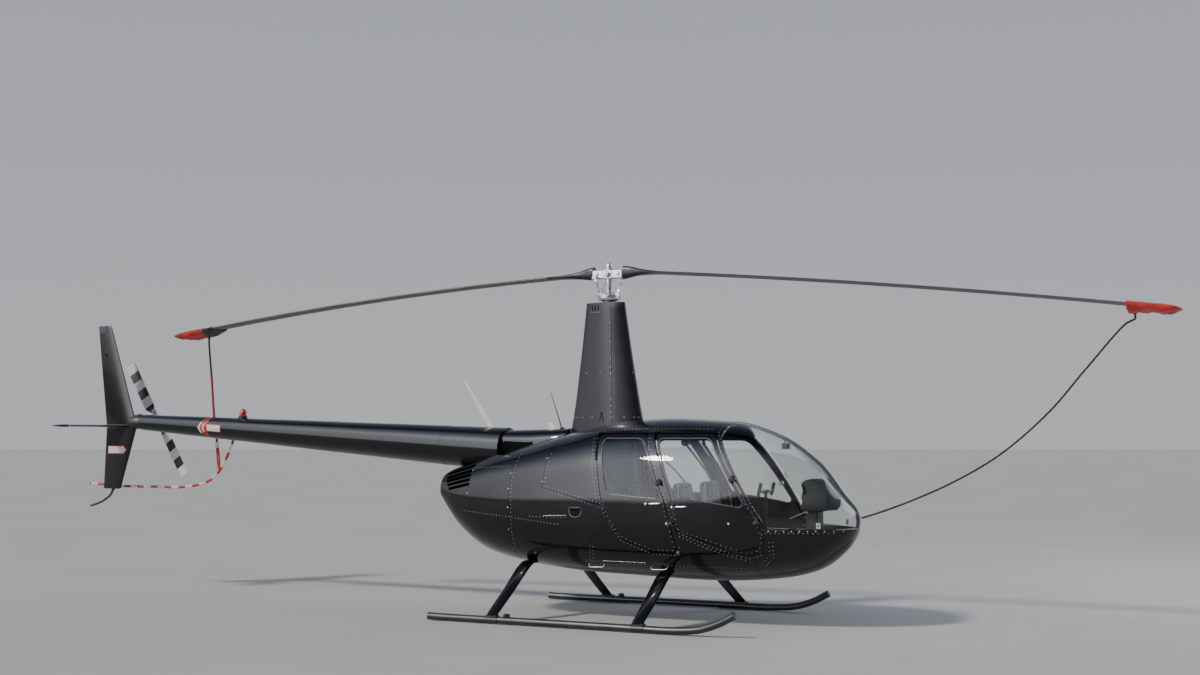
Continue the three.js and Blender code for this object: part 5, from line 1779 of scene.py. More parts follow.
def pad_form(length, width, thick, taper=0.0, count=40):
    """A slightly pulled-in pad, lying flat: X along its length, Y across, Z through it."""
    rings = []
    for z, size in ((0, 0.90), (0.18, 0.97), (0.5, 1.0), (0.82, 0.97), (1, 0.88)):
        ring = []
        for a in turn_angles(count):
            c, s = math.cos(a), math.sin(a)
            x = math.copysign(abs(c) ** 0.34, c) * length / 2
            y = math.copysign(abs(s) ** 0.34, s) * width / 2
            y *= 1 - taper * (x / length + 0.5)
            pull = 1 - 0.03 * (1 - abs(2 * z - 1)) * abs(math.sin(2 * a))
            edge = (1 - size) * min(length, width) * 0.35
            ring.append((x * pull - math.copysign(min(edge, abs(x)), x),
                         y * pull - math.copysign(min(edge, abs(y)), y), (z - 0.5) * thick))
        rings.append(ring)
    return loft(rings)


def inflated(part, cap, voxel=0.0085, frames=20):
    """The part's fabric blown out by pressure, no point moving further than the cap."""
    verts, faces = part
    mesh = bpy.data.meshes.new("pad_form")
    mesh.from_pydata(verts, [], faces)
    form = bpy.data.objects.new("pad_form", mesh)
    bpy.context.scene.collection.objects.link(form)
    remesh = form.modifiers.new("remesh", "REMESH")
    remesh.mode = "VOXEL"
    remesh.voxel_size = voxel
    depsgraph = bpy.context.evaluated_depsgraph_get()
    fine = bpy.data.meshes.new_from_object(form.evaluated_get(depsgraph))
    form.modifiers.clear()
    form.data = fine
    start = np.array([v.co[:] for v in fine.vertices])
    end = start.copy()
    cloth = form.modifiers.new("cloth", "CLOTH")
    cloth.settings.use_pressure = True
    cloth.settings.uniform_pressure_force = 4
    cloth.settings.effector_weights.gravity = 0
    cloth.settings.quality = 4
    cloth.point_cache.frame_start = 1
    cloth.point_cache.frame_end = frames
    for frame_number in range(1, frames + 1):
        bpy.context.scene.frame_set(frame_number)
    result = form.evaluated_get(bpy.context.evaluated_depsgraph_get())
    end = np.array([v.co[:] for v in result.data.vertices])
    bpy.context.scene.frame_set(1)
    move = end - start
    far = np.linalg.norm(move, axis=1)
    move *= np.minimum(1, cap / np.maximum(far, 1e-9))[:, None]
    polygons = [tuple(p.vertices) for p in fine.polygons]
    bpy.data.objects.remove(form)
    return start + move, polygons


def stitched(verts, lines, depth=0.006, spread=0.010):
    """Presses sewn channels into the upper side along lines, each ((x, y), (x, y))."""
    verts = verts.copy()
    for (x0, y0), (x1, y1) in lines:
        line = np.array((x1 - x0, y1 - y0))
        from_start = verts[:, :2] - (x0, y0)
        t = np.clip((from_start @ line) / np.linalg.norm(line) ** 2, 0, 1)
        off = np.linalg.norm(from_start - t[:, None] * line, axis=1)
        upper = verts[:, 2] > 0
        verts[:, 2] -= np.where(upper, depth * np.exp(-(off / spread) ** 2), 0)
    return verts


def welt(verts, polygons, z, radius=0.0042, count=72):
    """A piping cord round the pad at a height, lying on its fabric."""
    tree = BVHTree.FromPolygons([tuple(v) for v in verts], polygons)
    points = []
    for a in turn_angles(count):
        place = tree.ray_cast(Vector((0, 0, z)), Vector((math.cos(a), math.sin(a), 0)))[0]
        if place is not None:
            points.append(place)
    return tube(even(np.array([*points, points[0]]), 0.012)[:-1], radius, 8, closed=True)


SEATS = (
    {"row": "front", "x0": 0.880, "x1": 1.330, "back_x": 0.872, "top_x": 0.838, "top_z": 1.250},
    {"row": "rear", "x0": 0.100, "x1": 0.560, "back_x": 0.100, "top_x": 0.066, "top_z": 1.200},
)
SEAT_Y = 0.285
SEAT_TOP = 0.8405
SEAT_DEPTH = 0.438
SEAT_WIDTH = 0.345
PAD_MOVE = 0.014
bottom_verts, bottom_faces = inflated(pad_form(SEAT_DEPTH, SEAT_WIDTH, 0.066), PAD_MOVE)
bottom_verts = stitched(bottom_verts, (
    ((0.120, -0.128), (0.120, 0.128)), ((-0.02, -0.128), (-0.02, 0.128)),
    ((-0.15, -0.128), (-0.15, 0.128)), ((-0.19, -0.128), (0.185, -0.128)), ((-0.19, 0.128), (0.185, 0.128)),
))
bottom_verts[:, 2] = np.maximum(bottom_verts[:, 2], -0.033)
bottom_welt = welt(bottom_verts, bottom_faces, 0.020)
pads = {}
for row in SEATS:
    height = row["top_z"] - 0.905
    back_verts, back_faces = inflated(pad_form(height, SEAT_WIDTH - 0.01, 0.070, 0.06), PAD_MOVE)
    back_verts = stitched(back_verts, (
        ((-height * 0.28, -0.125), (-height * 0.28, 0.125)),
        ((height * 0.02, -0.123), (height * 0.02, 0.123)),
        ((height * 0.30, -0.120), (height * 0.30, 0.120)),
        ((-height * 0.42, -0.125), (height * 0.42, -0.117)),
        ((-height * 0.42, 0.125), (height * 0.42, 0.117)),
    ))
    back_verts[:, 2] = np.maximum(back_verts[:, 2], -0.038)
    pads[row["row"]] = (back_verts, back_faces, welt(back_verts, back_faces, 0.020), height)


STRAP_EDGE = ((-1, -0.4), (-0.96, -1), (0.96, -1), (1, -0.4), (1, 0.4), (0.96, 1), (-0.96, 1), (-1, 0.4))


def strap(points, width, thick, facing):
    """A flat strap along the points. Facing gives the way its flat side looks at each point."""
    points = np.array(points, float)
    tangents = np.gradient(points, axis=0)
    tangents /= np.linalg.norm(tangents, axis=1)[:, None]
    facing = np.broadcast_to(np.array(facing, float), points.shape)
    side = np.cross(tangents, facing)
    side /= np.linalg.norm(side, axis=1)[:, None]
    over = np.cross(side, tangents)
    rings = []
    for point, s, o in zip(points, side, over):
        rings.append([point + s * width / 2 * u + o * thick / 2 * v for u, v in STRAP_EDGE])
    return loft(rings)


for row in SEATS:
    for hand, side in HANDS.items():
        name = f"seat_{row['row']}_{hand}"
        at = ((row["x0"] + row["x1"]) / 2, side * SEAT_Y, SEAT_TOP + 0.0335)
        bottom = moved((bottom_verts, bottom_faces), at)
        cushion = put(f"{name}_cushion", bottom, seat_leather, slot="seat_grey", replaces=[name], sharp=180)
        put(f"{name}_cushion_welt", moved(bottom_welt, at), seat_piping, slot="seat_grey")
        back_verts, back_faces, back_welt, height = pads[row["row"]]
        lean = Vector((row["top_x"] - row["back_x"], 0, row["top_z"] - 0.90)).normalized()
        ahead = Vector((0, 1, 0)).cross(lean)
        middle = Vector(((row["top_x"] + row["back_x"]) / 2, side * SEAT_Y, (0.906 + row["top_z"]) / 2))
        middle += ahead * (0.041 + 0.002)
        back = placed((back_verts, back_faces), middle, lean, ahead)
        cushion = put(f"{name}_back", back, seat_leather, slot="seat_grey", replaces=[name], sharp=180)
        put(f"{name}_back_welt", placed(back_welt, middle, lean, ahead), seat_piping, slot="seat_grey")

        # Shoulder and lap belts, laid over the pads
        tree = BVHTree.FromPolygons(
            [*bottom[0], *back[0]],
            [*bottom[1], *[tuple(len(bottom[0]) + i for i in face) for face in back[1]]],
        )
        reel = Vector((row["top_x"] - 0.235, side * 0.400, row["top_z"] + 0.318))
        if row["row"] == "rear":
            reel = Vector((0.070, side * 0.36, 1.555))
        top = middle + lean * (height / 2 + 0.004) + Vector((0.030, 0, 0.012))
        points = [reel + (top - reel) * k / 8 for k in range(8)]
        normals = [Vector((0.5, 0, 0.85))] * 8
        buckle = Vector((row["x0"] + 0.215, side * (SEAT_Y - 0.145), 0))
        for k in range(1, 26):
            t = k / 25
            y = top.y + (buckle.y - top.y) * t
            if t < 0.72:
                down = t / 0.72
                start = Vector((row["x1"], y, row["top_z"] - 0.012 - down * (row["top_z"] - 0.955)))
                place, normal = tree.ray_cast(start, Vector((-1, 0, 0)))[:2]
            else:
                forward = (t - 0.72) / 0.28
                start = Vector((row["x0"] + 0.085 + forward * 0.13, y, 1.4))
                place, normal = tree.ray_cast(start, Vector((0, 0, -1)))[:2]
            if place is not None:
                points.append(place + normal * 0.0025)
                normals.append(normal)
        points = np.array(points)
        for _ in range(3):
            points[1:-1] = (points[:-2] + 2 * points[1:-1] + points[2:]) / 4
        normals = np.array([tuple(n) for n in normals])
        for _ in range(4):
            normals[1:-1] = (normals[:-2] + normals[1:-1] + normals[2:]) / 3
        belt = strap(points, 0.048, 0.0022, normals)
        end = Vector(points[-1])
        lap = []
        for k in range(15):
            y = side * (SEAT_Y + 0.150) + (end.y - side * (SEAT_Y + 0.150)) * k / 14
            x = row["x0"] + 0.13 + 0.055 * math.sin(math.pi * k / 14) + (end.x - row["x0"] - 0.13) * k / 14
            place, normal = tree.ray_cast(Vector((x, y, 1.4)), Vector((0, 0, -1)))[:2]
            lap.append(place + normal * 0.0045)
        lap_belt = strap(np.array(lap), 0.048, 0.0022, (0, 0, 1))
        put(f"{name}_belts", joined(belt, lap_belt), webbing, slot="seat_grey", sharp=50)
        clasp = moved(block(-0.036, 0.036, -0.027, 0.027, 0.003, 0.020), tuple(end))
        reel_case = lathe(((-0.026, 0.030), (-0.022, 0.034), (0.022, 0.034), (0.026, 0.030)),
                          reel + Vector((-0.012, 0, 0.022)), (0, 1, 0), 24)
        put(f"{name}_buckle", clasp, bare_alloy, slot="bare_alloy")
        put(f"{name}_reel", reel_case, satin_black, slot="trim_dark")

# Seat boxes with their lids, carpet and bulkhead

for row, half in ((SEATS[0], 0.455), (SEATS[1], 0.475)):
    x0, x1 = row["x0"], row["x1"] - 0.02
    parts = [block(x0, x1, -half, half, 0.5605, 0.828, 0.008)]
    for side in BOTH_SIDES:
        low, high = sorted((side * 0.012, side * (half - 0.004)))
        parts.append(block(x0 + 0.004, x1 - 0.002, low, high, 0.8285, 0.8400, 0.0025))
        piano = [(x0 + 0.10, side * half * 0.5 + reach, 0.829) for reach in (-0.16, 0.16)]
        parts.append(tube(piano, 0.004, 8))
        middle = side * 0.24
        parts.append(block(x1 - 0.001, x1 + 0.006, middle - 0.10, middle + 0.10, 0.62, 0.74, 0.002))
    put(f"seat_box_{row['row']}", joined(*parts), satin_black, slot="seat_grey",
        replaces=[f"seat_base_{row['row']}"])

cabin_lining = finish_material(
    "cabin_lining", (0.15, 0.16, 0.155), (0.19, 0.20, 0.195), 0.85, 0.05, patch=3.0, grain=12.0,
    bumps=((0.0010, 6.0),), specular=0.2,
)
PLAIN_NODES = {
    "cabin_floor": carpet, "rear_bulkhead": cabin_lining, "engine_block": bare_alloy,
    "cooling_fan": satin_black,
}
for obj in bpy.context.scene.objects:
    if obj.name in PLAIN_NODES:
        for material_slot in obj.material_slots:
            material_slot.material = PLAIN_NODES[obj.name]

# Instrument console with its hood, dials, radio stack and pedestal

HOOD = (
    (1.948, 1.222), (1.958, 1.262), (1.990, 1.280), (2.040, 1.284), (2.100, 1.262), (2.160, 1.222),
    (2.195, 1.178), (2.205, 1.120), (2.200, 1.050), (2.165, 1.012), (2.060, 1.004), (1.985, 1.008),
    (1.962, 1.030), (1.958, 1.100), (1.960, 1.168), (1.985, 1.176), (1.985, 1.215),
)
hood_rings = []
HOOD_ENDS = ((0.172, 0.020), (0.168, 0.010), (0.155, 0.002), (0.12, 0))
for y, shrink in (*[(-y, s) for y, s in HOOD_ENDS], (0, 0), *reversed(HOOD_ENDS)):
    outline = offset(rounded(HOOD, 0.012, 3), -shrink) if shrink else rounded(HOOD, 0.012, 3)
    drop = 0.010 * (abs(y) / 0.172) ** 2
    hood_rings.append([(x, y, z - drop) for x, z in outline])
put("console_hood", loft(hood_rings), trim_dark, slot="trim_dark", replaces=["instrument_console"])
STALK = (
    (1.905, 0.5605), (2.085, 0.5605), (2.072, 0.80), (2.068, 1.006), (1.985, 1.006), (1.950, 0.80),
)
put("console_pedestal", slab(STALK, -0.074, 0.074, 0.006), satin_black, slot="trim_dark",
    replaces=["instrument_console"])
dial_black = finish_material(
    "dial_black", (0.004, 0.004, 0.004), (0.008, 0.008, 0.008), 0.3, 0.05, patch=20.0, coat=1.0,
)
dial_white = finish_material("dial_white", (0.80, 0.80, 0.78), (0.86, 0.86, 0.84), 0.5, 0.05, patch=30.0)


def dial_mark(place, way, across, corners, depths):
    """A flat mark that stands off a dial's face. Corners count (along, across) from its middle."""
    return loft([
        [Vector(place) + Vector((-depth, 0, 0)) + way * reach + across * wide for reach, wide in corners]
        for depth in depths
    ])


bezels, faces_black, marks = [], [], []
DIALS = [(y, z, 0.040) for y in (-0.105, 0.0, 0.105) for z in (1.128, 1.052)]
DIALS += [(y, 1.193, 0.020) for y in (-0.13, -0.08, -0.03, 0.03, 0.08, 0.13)]
for y, z, radius in DIALS:
    place = (1.984 if radius < 0.03 else 1.957, y, z)
    bezels.append(lathe(((-0.004, radius), (0.004, radius), (0.007, radius * 0.93), (0.0065, radius * 0.88),
                         (0.002, radius * 0.84)), place, (-1, 0, 0), 28))
    faces_black.append(lathe(((0.0020, radius * 0.83), (0.0034, radius * 0.83)), place, (-1, 0, 0), 28))
    for k in range(13):
        pointer = k == 12
        a = math.radians(-40 - 300 * (y + 0.2) * 2 - 100 * z if pointer else 30 * k)
        way = Vector((0, math.cos(a), math.sin(a)))
        across = Vector((0, -math.sin(a), math.cos(a)))
        inner, outer, wide = radius * (0.62 if k % 3 else 0.55), radius * 0.78, radius * 0.025
        corners = ((inner, -wide), (outer, -wide), (outer, wide), (inner, wide))
        if pointer:
            inner, outer = -0.2 * radius, 0.62 * radius
            corners = ((inner, -0.001), (outer, -0.0006), (outer, 0.0006), (inner, 0.001))
        depths = (0.0040, 0.0046) if pointer else (0.0034, 0.0040)
        marks.append(dial_mark(place, way, across, corners, depths))
put("dial_bezels", joined(*bezels), satin_black, slot="trim_dark")
put("dial_faces", joined(*faces_black), dial_black, slot="trim_dark")
put("dial_marks", joined(*marks), dial_white, slot="antenna_white")
KNOB = ((0, 0.008), (0.012, 0.0075), (0.014, 0.006))
radios, knobs = [], []
for k in range(4):
    z = 0.955 - 0.062 * k
    x = 1.985 - 0.012 - (1.006 - z) * 0.17
    radios.append(block(x - 0.008, x + 0.03, -0.064, 0.064, z - 0.026, z + 0.026, 0.002))
    knobs += [lathe(KNOB, (x - 0.008, y, z - 0.010), (-1, 0, 0), 16) for y in (-0.052, 0.052)]
put("radio_stack", joined(*radios), dial_black, slot="trim_dark")
put("radio_knobs", joined(*knobs), bead_grey, slot="trim_dark")

# Twin-grip cyclic stick, collectives and pedals

stick = [
    tube(((1.560, 0, 0.5605), (1.560, 0, 1.145)), 0.013, 16),
    lathe(((0, 0.030), (0.010, 0.042), (0.090, 0.022), (0.100, 0.016)), (1.560, 0, 0.5605), (0, 0, 1), 24),
    block(1.538, 1.582, -0.024, 0.024, 1.142, 1.176, 0.004),
    tube(((1.560, -0.158, 1.164), (1.560, 0.158, 1.164)), 0.0095, 12),
]
put("cyclic_stem", joined(*stick), satin_black, slot="trim_dark", replaces=["cyclic_stick"])
bar = block(1.548, 1.572, -0.130, 0.130, 1.172, 1.180, 0.003)
put("cyclic_bar_cap", bar, bare_alloy, slot="bare_alloy")
RIDGES = [0.013, 0.0155, 0.0150, 0.0165, 0.0150, 0.0165, 0.0150, 0.0165, 0.0155, 0.0175, 0.014]
grips = []
for side in BOTH_SIDES:
    base = Vector((1.550, side * 0.150, 1.128))
    head = Vector((1.578, side * 0.150, 1.238))
    grips.append(tube([base + (head - base) * t / 10 for t in range(11)], RIDGES, 14))
    grips.append(lathe(((0, 0.005), (0.006, 0.005), (0.007, 0.004)), head + Vector((-0.004, 0, 0.0)),
                       (head - base).normalized(), 12))
put("cyclic_grips", joined(*grips), trim_dark, slot="trim_dark")
levers = []
for y in (-0.050, 0.482):
    run = catmull(((0.965, y, 0.850), (1.10, y, 0.872), (1.26, y, 0.905), (1.40, y, 0.950)), 6)
    levers.append(tube(run, 0.011, 12))
    levers.append(tube(((1.290, y, 0.913), (1.405, y, 0.952)), 0.0165, 14))
put("collective_levers", joined(*levers), satin_black, slot="trim_dark")
pedals = []
for y in (-0.345, -0.175, 0.175, 0.345):
    arm = catmull(((1.760, y, 0.565), (1.770, y, 0.640), (1.800, y, 0.720)), 6)
    pedals.append(tube(even(arm, 0.01), 0.009, 10))
    pedals.append(block(1.795, 1.805, y - 0.040, y + 0.040, 0.690, 0.745, 0.002))
put("pedals", joined(*pedals), satin_black, slot="trim_dark")

# Compass, a blank card on the port door and the brace of the screen's lower edge

compass = [
    block(1.722, 1.785, -0.030, 0.030, 1.535, 1.588, 0.008),
    tube(((1.745, 0, 1.585), (1.740, 0, 1.632)), 0.006, 10),
]
put("compass_case", joined(*compass), bead_grey, slot="trim_dark")
compass_window = lathe(((0, 0.022), (0.003, 0.022), (0.006, 0.016)), (1.7225, 0, 1.561), (-1, 0, 0), 24)
put("compass_window", compass_window, dial_black, slot="trim_dark")
tag = skin_flat(((1.462, 1.205), (1.522, 1.205), (1.522, 1.250), (1.462, 1.250)))
skin_piece("door_tag", tag, [antenna_white], (WALL + 0.001, WALL + 0.003), PORT, "door_front_left",
           "antenna_white")
put("screen_brace", tube(((1.583, 0.50, 0.903), (1.786, 0.50, 0.988)), 0.004, 10), bare_alloy,
    slot="bare_alloy")

# Rear tie-down strap: black webbing, then red, doubled below its buckle

STRAP_ROUTE = (
    (-4.6191, -0.2340, 2.6647), (-4.6191, -0.2340, 2.6247), (-4.742, -0.042, 2.230),
    (-4.850, 0.125, 1.850), (-4.845, 0.150, 1.700), (-4.800, 0.159, 1.290),
)
strap_run = even(catmull(STRAP_ROUTE, 24), 0.03)
upper = strap_run[strap_run[:, 2] > 2.27]
middle = strap_run[(strap_run[:, 2] <= 2.30) & (strap_run[:, 2] > 1.555)]
lower = strap_run[strap_run[:, 2] <= 1.575]
LOOK = (0.35, -0.94, 0)
put("rear_strap_upper", strap(upper, 0.022, 0.0035, LOOK), strap_black, slot="cord_black",
    replaces=["rear_tie_strap"])
put("rear_strap_middle", strap(middle, 0.026, 0.0035, LOOK), strap_red, slot="cover_red")
twin = []
for shift in (-0.014, 0.014):
    sway = 0.5 + 0.5 * np.cos(np.linspace(0.0, 2 * math.pi, len(lower)))
    points = lower + np.outer(shift * (1 - 0.45 * sway), (1, 0, 0))
    twin.append(strap(points, 0.019, 0.003, LOOK))
put("rear_strap_lower", joined(*twin), strap_red, slot="cover_red", replaces=["rear_tie_strap"])
buckle_at = Vector(lower[0])
frame_bar = block(-0.026, 0.026, -0.006, 0.006, -0.030, 0.030, 0.003)
put("rear_strap_buckle", moved(frame_bar, buckle_at), antenna_white, slot="antenna_white")

# Louvres in the tail cowl: a black liner behind the slots, a sheet of painted shade for the dark inside of
# the cowl

for hand, side in HANDS.items():
    behind = skin_flat(offset(LOUVRE, 0.020))
    skin_piece(f"louvre_shade_sheet_{hand}", behind, [shade_and_seam_black], (0.036, 0.040), side, slot="trim_dark")

# Small scoop below the engine deck: a hooded slot in a U-shaped bump; the slot is a flat near-black patch,
# painted shade, and thin light metal lines on the bump's rim and on two panel edges are painted highlights

SCOOP = ((-0.066, 1.024), (0.062, 1.028), (0.056, 0.966), (0.030, 0.936), (-0.030, 0.932), (-0.060, 0.962))
scoop_line = rounded(SCOOP, 0.018, 4)
for hand, side in HANDS.items():
    rings = []
    for out, inset in ((-0.004, 0.0), (0.006, -0.002), (0.013, -0.009), (0.015, -0.016)):
        rings.append([skin_at(x, z, side, out)[0] for x, z in offset(scoop_line, inset)])
    put(f"scoop_bump_{hand}", loft(rings), gloss_black, slot="gloss_black")
    slot_line = rounded(((-0.047, 1.006), (0.044, 1.010), (0.040, 0.986), (-0.040, 0.982)), 0.006, 3)
    # The slot: a flat near-black patch on the bump's top, painted shade for the dark mouth
    scoop_mouth_shade = patch(skin_at, slot_line, side, (0.012, 0.0162))
    put(f"scoop_mouth_shade_{hand}", scoop_mouth_shade, shade_and_seam_black, slot="trim_dark")
    # Thin light metal tubes on the bump's U-shaped rim and along two panel edges: painted highlights, the
    # glints of those edges
    rim = [(-0.064, 1.016), (-0.062, 0.966), (-0.034, 0.934), (0.032, 0.938), (0.058, 0.968), (0.062, 1.018)]
    lines = [tube(skin_line(catmull([(x, 0, z) for x, z in rim], 5)[:, (0, 2)], side, 0.006), 0.0026, 8)]
    lines.append(tube(skin_line(((-0.343, 0.936), (-0.098, 0.943)), side, 0.0), 0.0020, 8))
    lines.append(tube(skin_line(((0.215, 0.545), (0.640, 0.541)), side, -0.0004), 0.0012, 8))
    put(f"edge_glints_{hand}", joined(*lines), wear_and_glint_metal, slot="bare_alloy")

# Mast fairing: rivets along its seam and foot; slots under the hub and a slit at the foot, drawn as thin
# near-black patches of painted shade; a dark line along the seam


def fairing_at(x, z, hand=STARBOARD, out=0.0):
    """A point over the mast fairing at a side-view place, and the normal there."""
    nose, tail = read_table(FAIRING, z, (1, 2))
    share = min(max((x - nose) / (tail - nose), 0.002), 0.998)
    angle = 2 * math.pi - math.acos(2 * share - 1)
    point = fairing_point(z, angle, out)
    normal = fairing_normal(z, angle)
    if normal.y > 0:
        normal = -normal
    if hand == PORT:
        point = Vector((point.x, -point.y, point.z))
        normal = Vector((normal.x, -normal.y, normal.z))
    return point, normal


FOOT_RIVETS = (-0.360, -0.323, -0.249, -0.155, -0.132, 0.066, 0.092, 0.201, 0.290, 0.324, 0.350)
SEAM_RIVETS = (2.70, 2.58, 2.52, 2.36, 2.285, 2.23, 2.22, 2.165, 2.07, 1.99, 1.93, 1.87)
SLOTS_X = (-0.155, -0.118, -0.081)
SLIT_CORNERS = ((0.018, 1.780), (0.026, 1.780), (0.006, 1.872), (-0.002, 1.872))
MARK_LEVELS = (-0.002, 0.0008)


def seam_x(z):
    """Where the mast fairing's riveted seam runs at a height."""
    return 0.052 + (2.6 - z) * 0.028


for hand, side in HANDS.items():
    places = [fairing_at(x, 1.822, side) for x in FOOT_RIVETS]
    places += [fairing_at(seam_x(z), z, side) for z in SEAM_RIVETS]
    places += [fairing_at(x, z, side) for x, z in ((0.262, 2.235), (-0.215, 2.235), (-0.05, 2.235))]
    places += [fairing_at(x, 2.800, side) for x in SLOTS_X]
    # Fairing rivets in light metal: worn heads, partly painted highlight for their glints
    rivets(f"fairing_rivets_{hand}", places, wear_and_glint_metal, slot="bare_alloy", radius=0.0060, height=0.002)
    # Slots and slit as thin near-black patches over the skin: painted shade for their dark insides, with a
    # dark seam line
    outlines = [
        [(x + dx, z) for dx, z in ((-0.0045, 2.815), (0.0045, 2.815), (0.0045, 2.868), (-0.0045, 2.868))]
        for x in SLOTS_X
    ]
    outlines += [
        [(-0.028 + lean * dx, z) for dx, z in SLIT_CORNERS] for lean in (-1, 1)
    ]
    marks = [patch(fairing_at, outline, side, MARK_LEVELS) for outline in outlines]
    seam = [fairing_at(seam_x(z), z, side, 0.0003)[0] for z in np.linspace(2.86, 1.74, 40)]
    marks.append(tube(np.array(seam) + (0.010, 0, 0), 0.0016, 6))
    put(f"fairing_shade_and_seam_{hand}", joined(*marks), shade_and_seam_black, slot="trim_dark")

# Blank labels: two chevrons and a plate on the tail cone, a pointed plate on the lower fin


def cone_label(rows, side, low=0.0004, high=0.0018):
    """A thin label on the tail cone from (degrees from the top, x, x) rows."""
    rings = []
    for degrees in np.linspace(rows[0][0], rows[-1][0], 15):
        x0, x1 = read_table(rows, degrees, (1, 2))
        corners = ((x0, low), (x1, low), (x1, high), (x0, high))
        rings.append([cone_point(x, -side * degrees, out) for x, out in corners])
    return loft(rings)


for hand, side in HANDS.items():
    red = [
        cone_label(((24, -4.800, -4.774), (93, -4.848, -4.816), (142, -4.800, -4.774)), side),
        cone_label(((24, -4.762, -4.736), (93, -4.792, -4.760), (142, -4.762, -4.736)), side),
        cone_label(((71, -4.752, -4.556), (110, -4.752, -4.556)), side),
    ]
    white = [
        cone_label(((62, -4.840, -4.820), (93, -4.876, -4.850), (124, -4.840, -4.820)), side),
        cone_label(((70, -4.796, -4.778), (93, -4.814, -4.794), (116, -4.796, -4.778)), side),
        cone_label(((74.5, -4.744, -4.564), (106.5, -4.744, -4.564)), side, 0.0010, 0.0024),
    ]
    put(f"cone_chevrons_{hand}", joined(*red), guard_red, slot="guard_paint")
    put(f"cone_plate_{hand}", joined(*white), antenna_white, slot="antenna_white")


def fin_at(name, x, z, side, out=0.0):
    """A point over a fin's side."""
    root, tip = FIN_ROWS[name]
    t = (z - root[2]) / (tip[2] - root[2])
    lead, trail, _, thick = mix(root, tip, t)
    half_thick = float(wing_half((x - lead) / (trail - lead))) * thick * SKIN_SWELL
    return Vector((x, side * (half_thick + out), z))


LABEL = ((-6.246, 1.545, 1.455), (-6.020, 1.545, 1.455), (-6.012, 1.552, 1.448), (-5.962, 1.500, 1.498))
for hand, side in HANDS.items():
    layers = []
    for inset, low, high in ((0.0, 0.0004, 0.0016), (0.010, 0.0010, 0.0022)):
        rings = []
        for x in np.linspace(LABEL[0][0] + inset, LABEL[-1][0] - inset * 1.6, 30):
            top, foot = read_table(LABEL, x, (1, 2))
            room = max((top - foot) / 2 - inset, 0.0006)
            z0, z1 = (top + foot) / 2 - room, (top + foot) / 2 + room
            corners = ((z0, low), (z1, low), (z1, high), (z0, high))
            rings.append([fin_at("lower_fin", x, z, side, out) for z, out in corners])
        layers.append(loft(rings))
    put(f"fin_label_edge_{hand}", layers[0], guard_red, slot="guard_paint")
    put(f"fin_label_{hand}", layers[1], antenna_white, slot="antenna_white")
    # A hole in the upper fin, drawn as a thin near-black disc on its side: painted shade for its dark inside
    hole_at = fin_at("upper_fin", -6.287, 2.545, side)
    fin_hole_shade = lathe(((-0.002, 0.015), (0.0012, 0.015)), hole_at, (0, side, 0), 24)
    put(f"fin_hole_shade_{hand}", fin_hole_shade, shade_and_seam_black, slot="trim_dark")

# Stage


FLOOR_REACH = 300


def add_light(name, kind, power, color, way):
    """A lamp that shines along the given way and that the camera doesn't see."""
    data = bpy.data.lights.new(name, kind)
    data.energy = power
    data.color = color
    light = bpy.data.objects.new(name, data)
    bpy.context.scene.collection.objects.link(light)
    light.rotation_euler = way.to_track_quat("-Z", "Y").to_euler()
    light.visible_camera = False
    return light


floor_mesh = bpy.data.meshes.new("floor")
floor_mesh.from_pydata([
    (FLOOR_REACH * x, FLOOR_REACH * y, 0) for x, y in ((-1, -1), (1, -1), (1, 1), (-1, 1))
], [], [(0, 1, 2, 3)])
floor = bpy.data.objects.new("floor", floor_mesh)
bpy.context.scene.collection.objects.link(floor)
floor_mesh.materials.append(finish_material(
    "floor_paint", (0.54, 0.54, 0.53), (0.58, 0.58, 0.57), 0.9, 0.05, patch=0.4, grain=3.0, specular=0.08,
))

# Light from all round: a soft dome, and panels on the camera's side that only reflections see
world = bpy.data.worlds.new("world")
bpy.context.scene.world = world
world.use_nodes = True
nodes, links = world.node_tree.nodes, world.node_tree.links
where = nodes.new("ShaderNodeTexCoord")
split = nodes.new("ShaderNodeSeparateXYZ")
links.new(where.outputs["Generated"], split.inputs["Vector"])


def dome(strength, stops, height):
    """Light from the dome by height, from the horizon at 0 to straight up at 1."""
    ramp = nodes.new("ShaderNodeValToRGB")
    ramp.color_ramp.interpolation = "EASE"
    links.new(height, ramp.inputs["Fac"])
    first, last = ramp.color_ramp.elements
    first.position, last.position = stops[0][0], stops[-1][0]
    first.color, last.color = (*stops[0][1], 1), (*stops[-1][1], 1)
    for position, color in stops[1:-1]:
        ramp.color_ramp.elements.new(position).color = (*color, 1)
    light = add_node(nodes, "Background", {"Strength": strength})
    links.new(ramp.outputs["Color"], light.inputs["Color"])
    return light


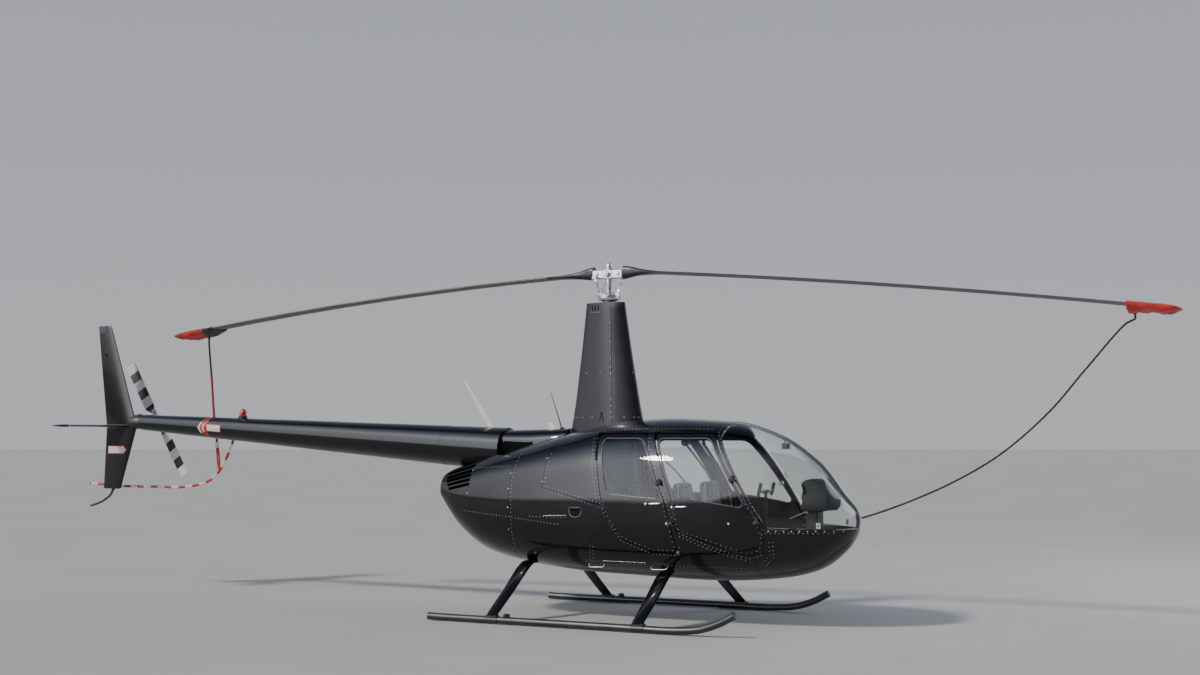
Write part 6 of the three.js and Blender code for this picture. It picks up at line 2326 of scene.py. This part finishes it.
soft = dome(0.80, ((0.0, (0.62, 0.64, 0.67)), (0.30, (0.52, 0.55, 0.60)), (0.62, (0.36, 0.40, 0.48)),
                  (0.92, (0.24, 0.27, 0.34))), split.outputs["Z"])
far_side = dome(0.9, ((0.0, (0.62, 0.64, 0.67)), (0.30, (0.50, 0.54, 0.60)), (0.62, (0.26, 0.31, 0.42)),
                      (0.92, (0.08, 0.11, 0.19))), split.outputs["Z"])
shade_line = add_node(nodes, "MapRange", {"From Min": -0.42, "From Max": 0.35, "To Max": -0.36})
links.new(split.outputs["X"], shade_line.inputs["Value"])
lowered = nodes.new("ShaderNodeMath")
links.new(split.outputs["Z"], lowered.inputs[0])
links.new(shade_line.outputs["Result"], lowered.inputs[1])
near_side = dome(5.0, ((0.005, (0.05, 0.055, 0.06)), (0.07, (0.74, 0.75, 0.78)), (0.58, (0.70, 0.73, 0.79)),
                       (0.82, (0.26, 0.30, 0.41)), (0.96, (0.012, 0.018, 0.036))), lowered.outputs["Value"])


def between(fac, first, second):
    """One light where the factor is 0 and the other where it is 1."""
    both = nodes.new("ShaderNodeMixShader")
    links.new(fac, both.inputs["Fac"])
    links.new(first, both.inputs[1])
    links.new(second, both.inputs[2])
    return both.outputs["Shader"]


turn = add_node(nodes, "MapRange", {"From Min": 0.05, "From Max": -0.45})
turn.interpolation_type = "SMOOTHSTEP"
links.new(split.outputs["Y"], turn.inputs["Value"])
level = add_node(nodes, "MapRange", {"From Min": -1.0})
links.new(split.outputs["X"], level.inputs["Value"])
sweep = nodes.new("ShaderNodeValToRGB")
links.new(level.outputs["Result"], sweep.inputs["Fac"])
first, last = sweep.color_ramp.elements
first.position, last.position = 0.0, 1.0
first.color, last.color = (0.25, 0.25, 0.25, 1), (0.05, 0.05, 0.05, 1)
for position, value in ((0.14, 0.42), (0.27, 0.95), (0.44, 1.0), (0.56, 0.50), (0.68, 0.14)):
    sweep.color_ramp.elements.new(position).color = (value, value, value, 1)
strength = nodes.new("ShaderNodeMath")
strength.operation = "MULTIPLY"
strength.inputs[1].default_value = 6.6
links.new(sweep.outputs["Color"], strength.inputs[0])
links.new(strength.outputs["Value"], near_side.inputs["Strength"])
panels = between(turn.outputs["Result"], far_side.outputs["Background"], near_side.outputs["Background"])
rays = nodes.new("ShaderNodeLightPath")
world_light = between(rays.outputs["Is Glossy Ray"], soft.outputs["Background"], panels)
links.new(world_light, nodes["World Output"].inputs["Surface"])

key = add_light("key", "SUN", 2.1, (1.0, 0.95, 0.87), Vector((7.6, 12.2, -12.4)))
key.data.angle = math.radians(6.5)
FILL_PLACE = Vector((10.0, 7.0, 6.0))
fill = add_light("fill", "AREA", 260, (0.9, 0.95, 1.0), Vector((1, 0, 1)) - FILL_PLACE)
fill.data.shape = "RECTANGLE"
fill.data.size, fill.data.size_y = 6, 5
fill.location = FILL_PLACE
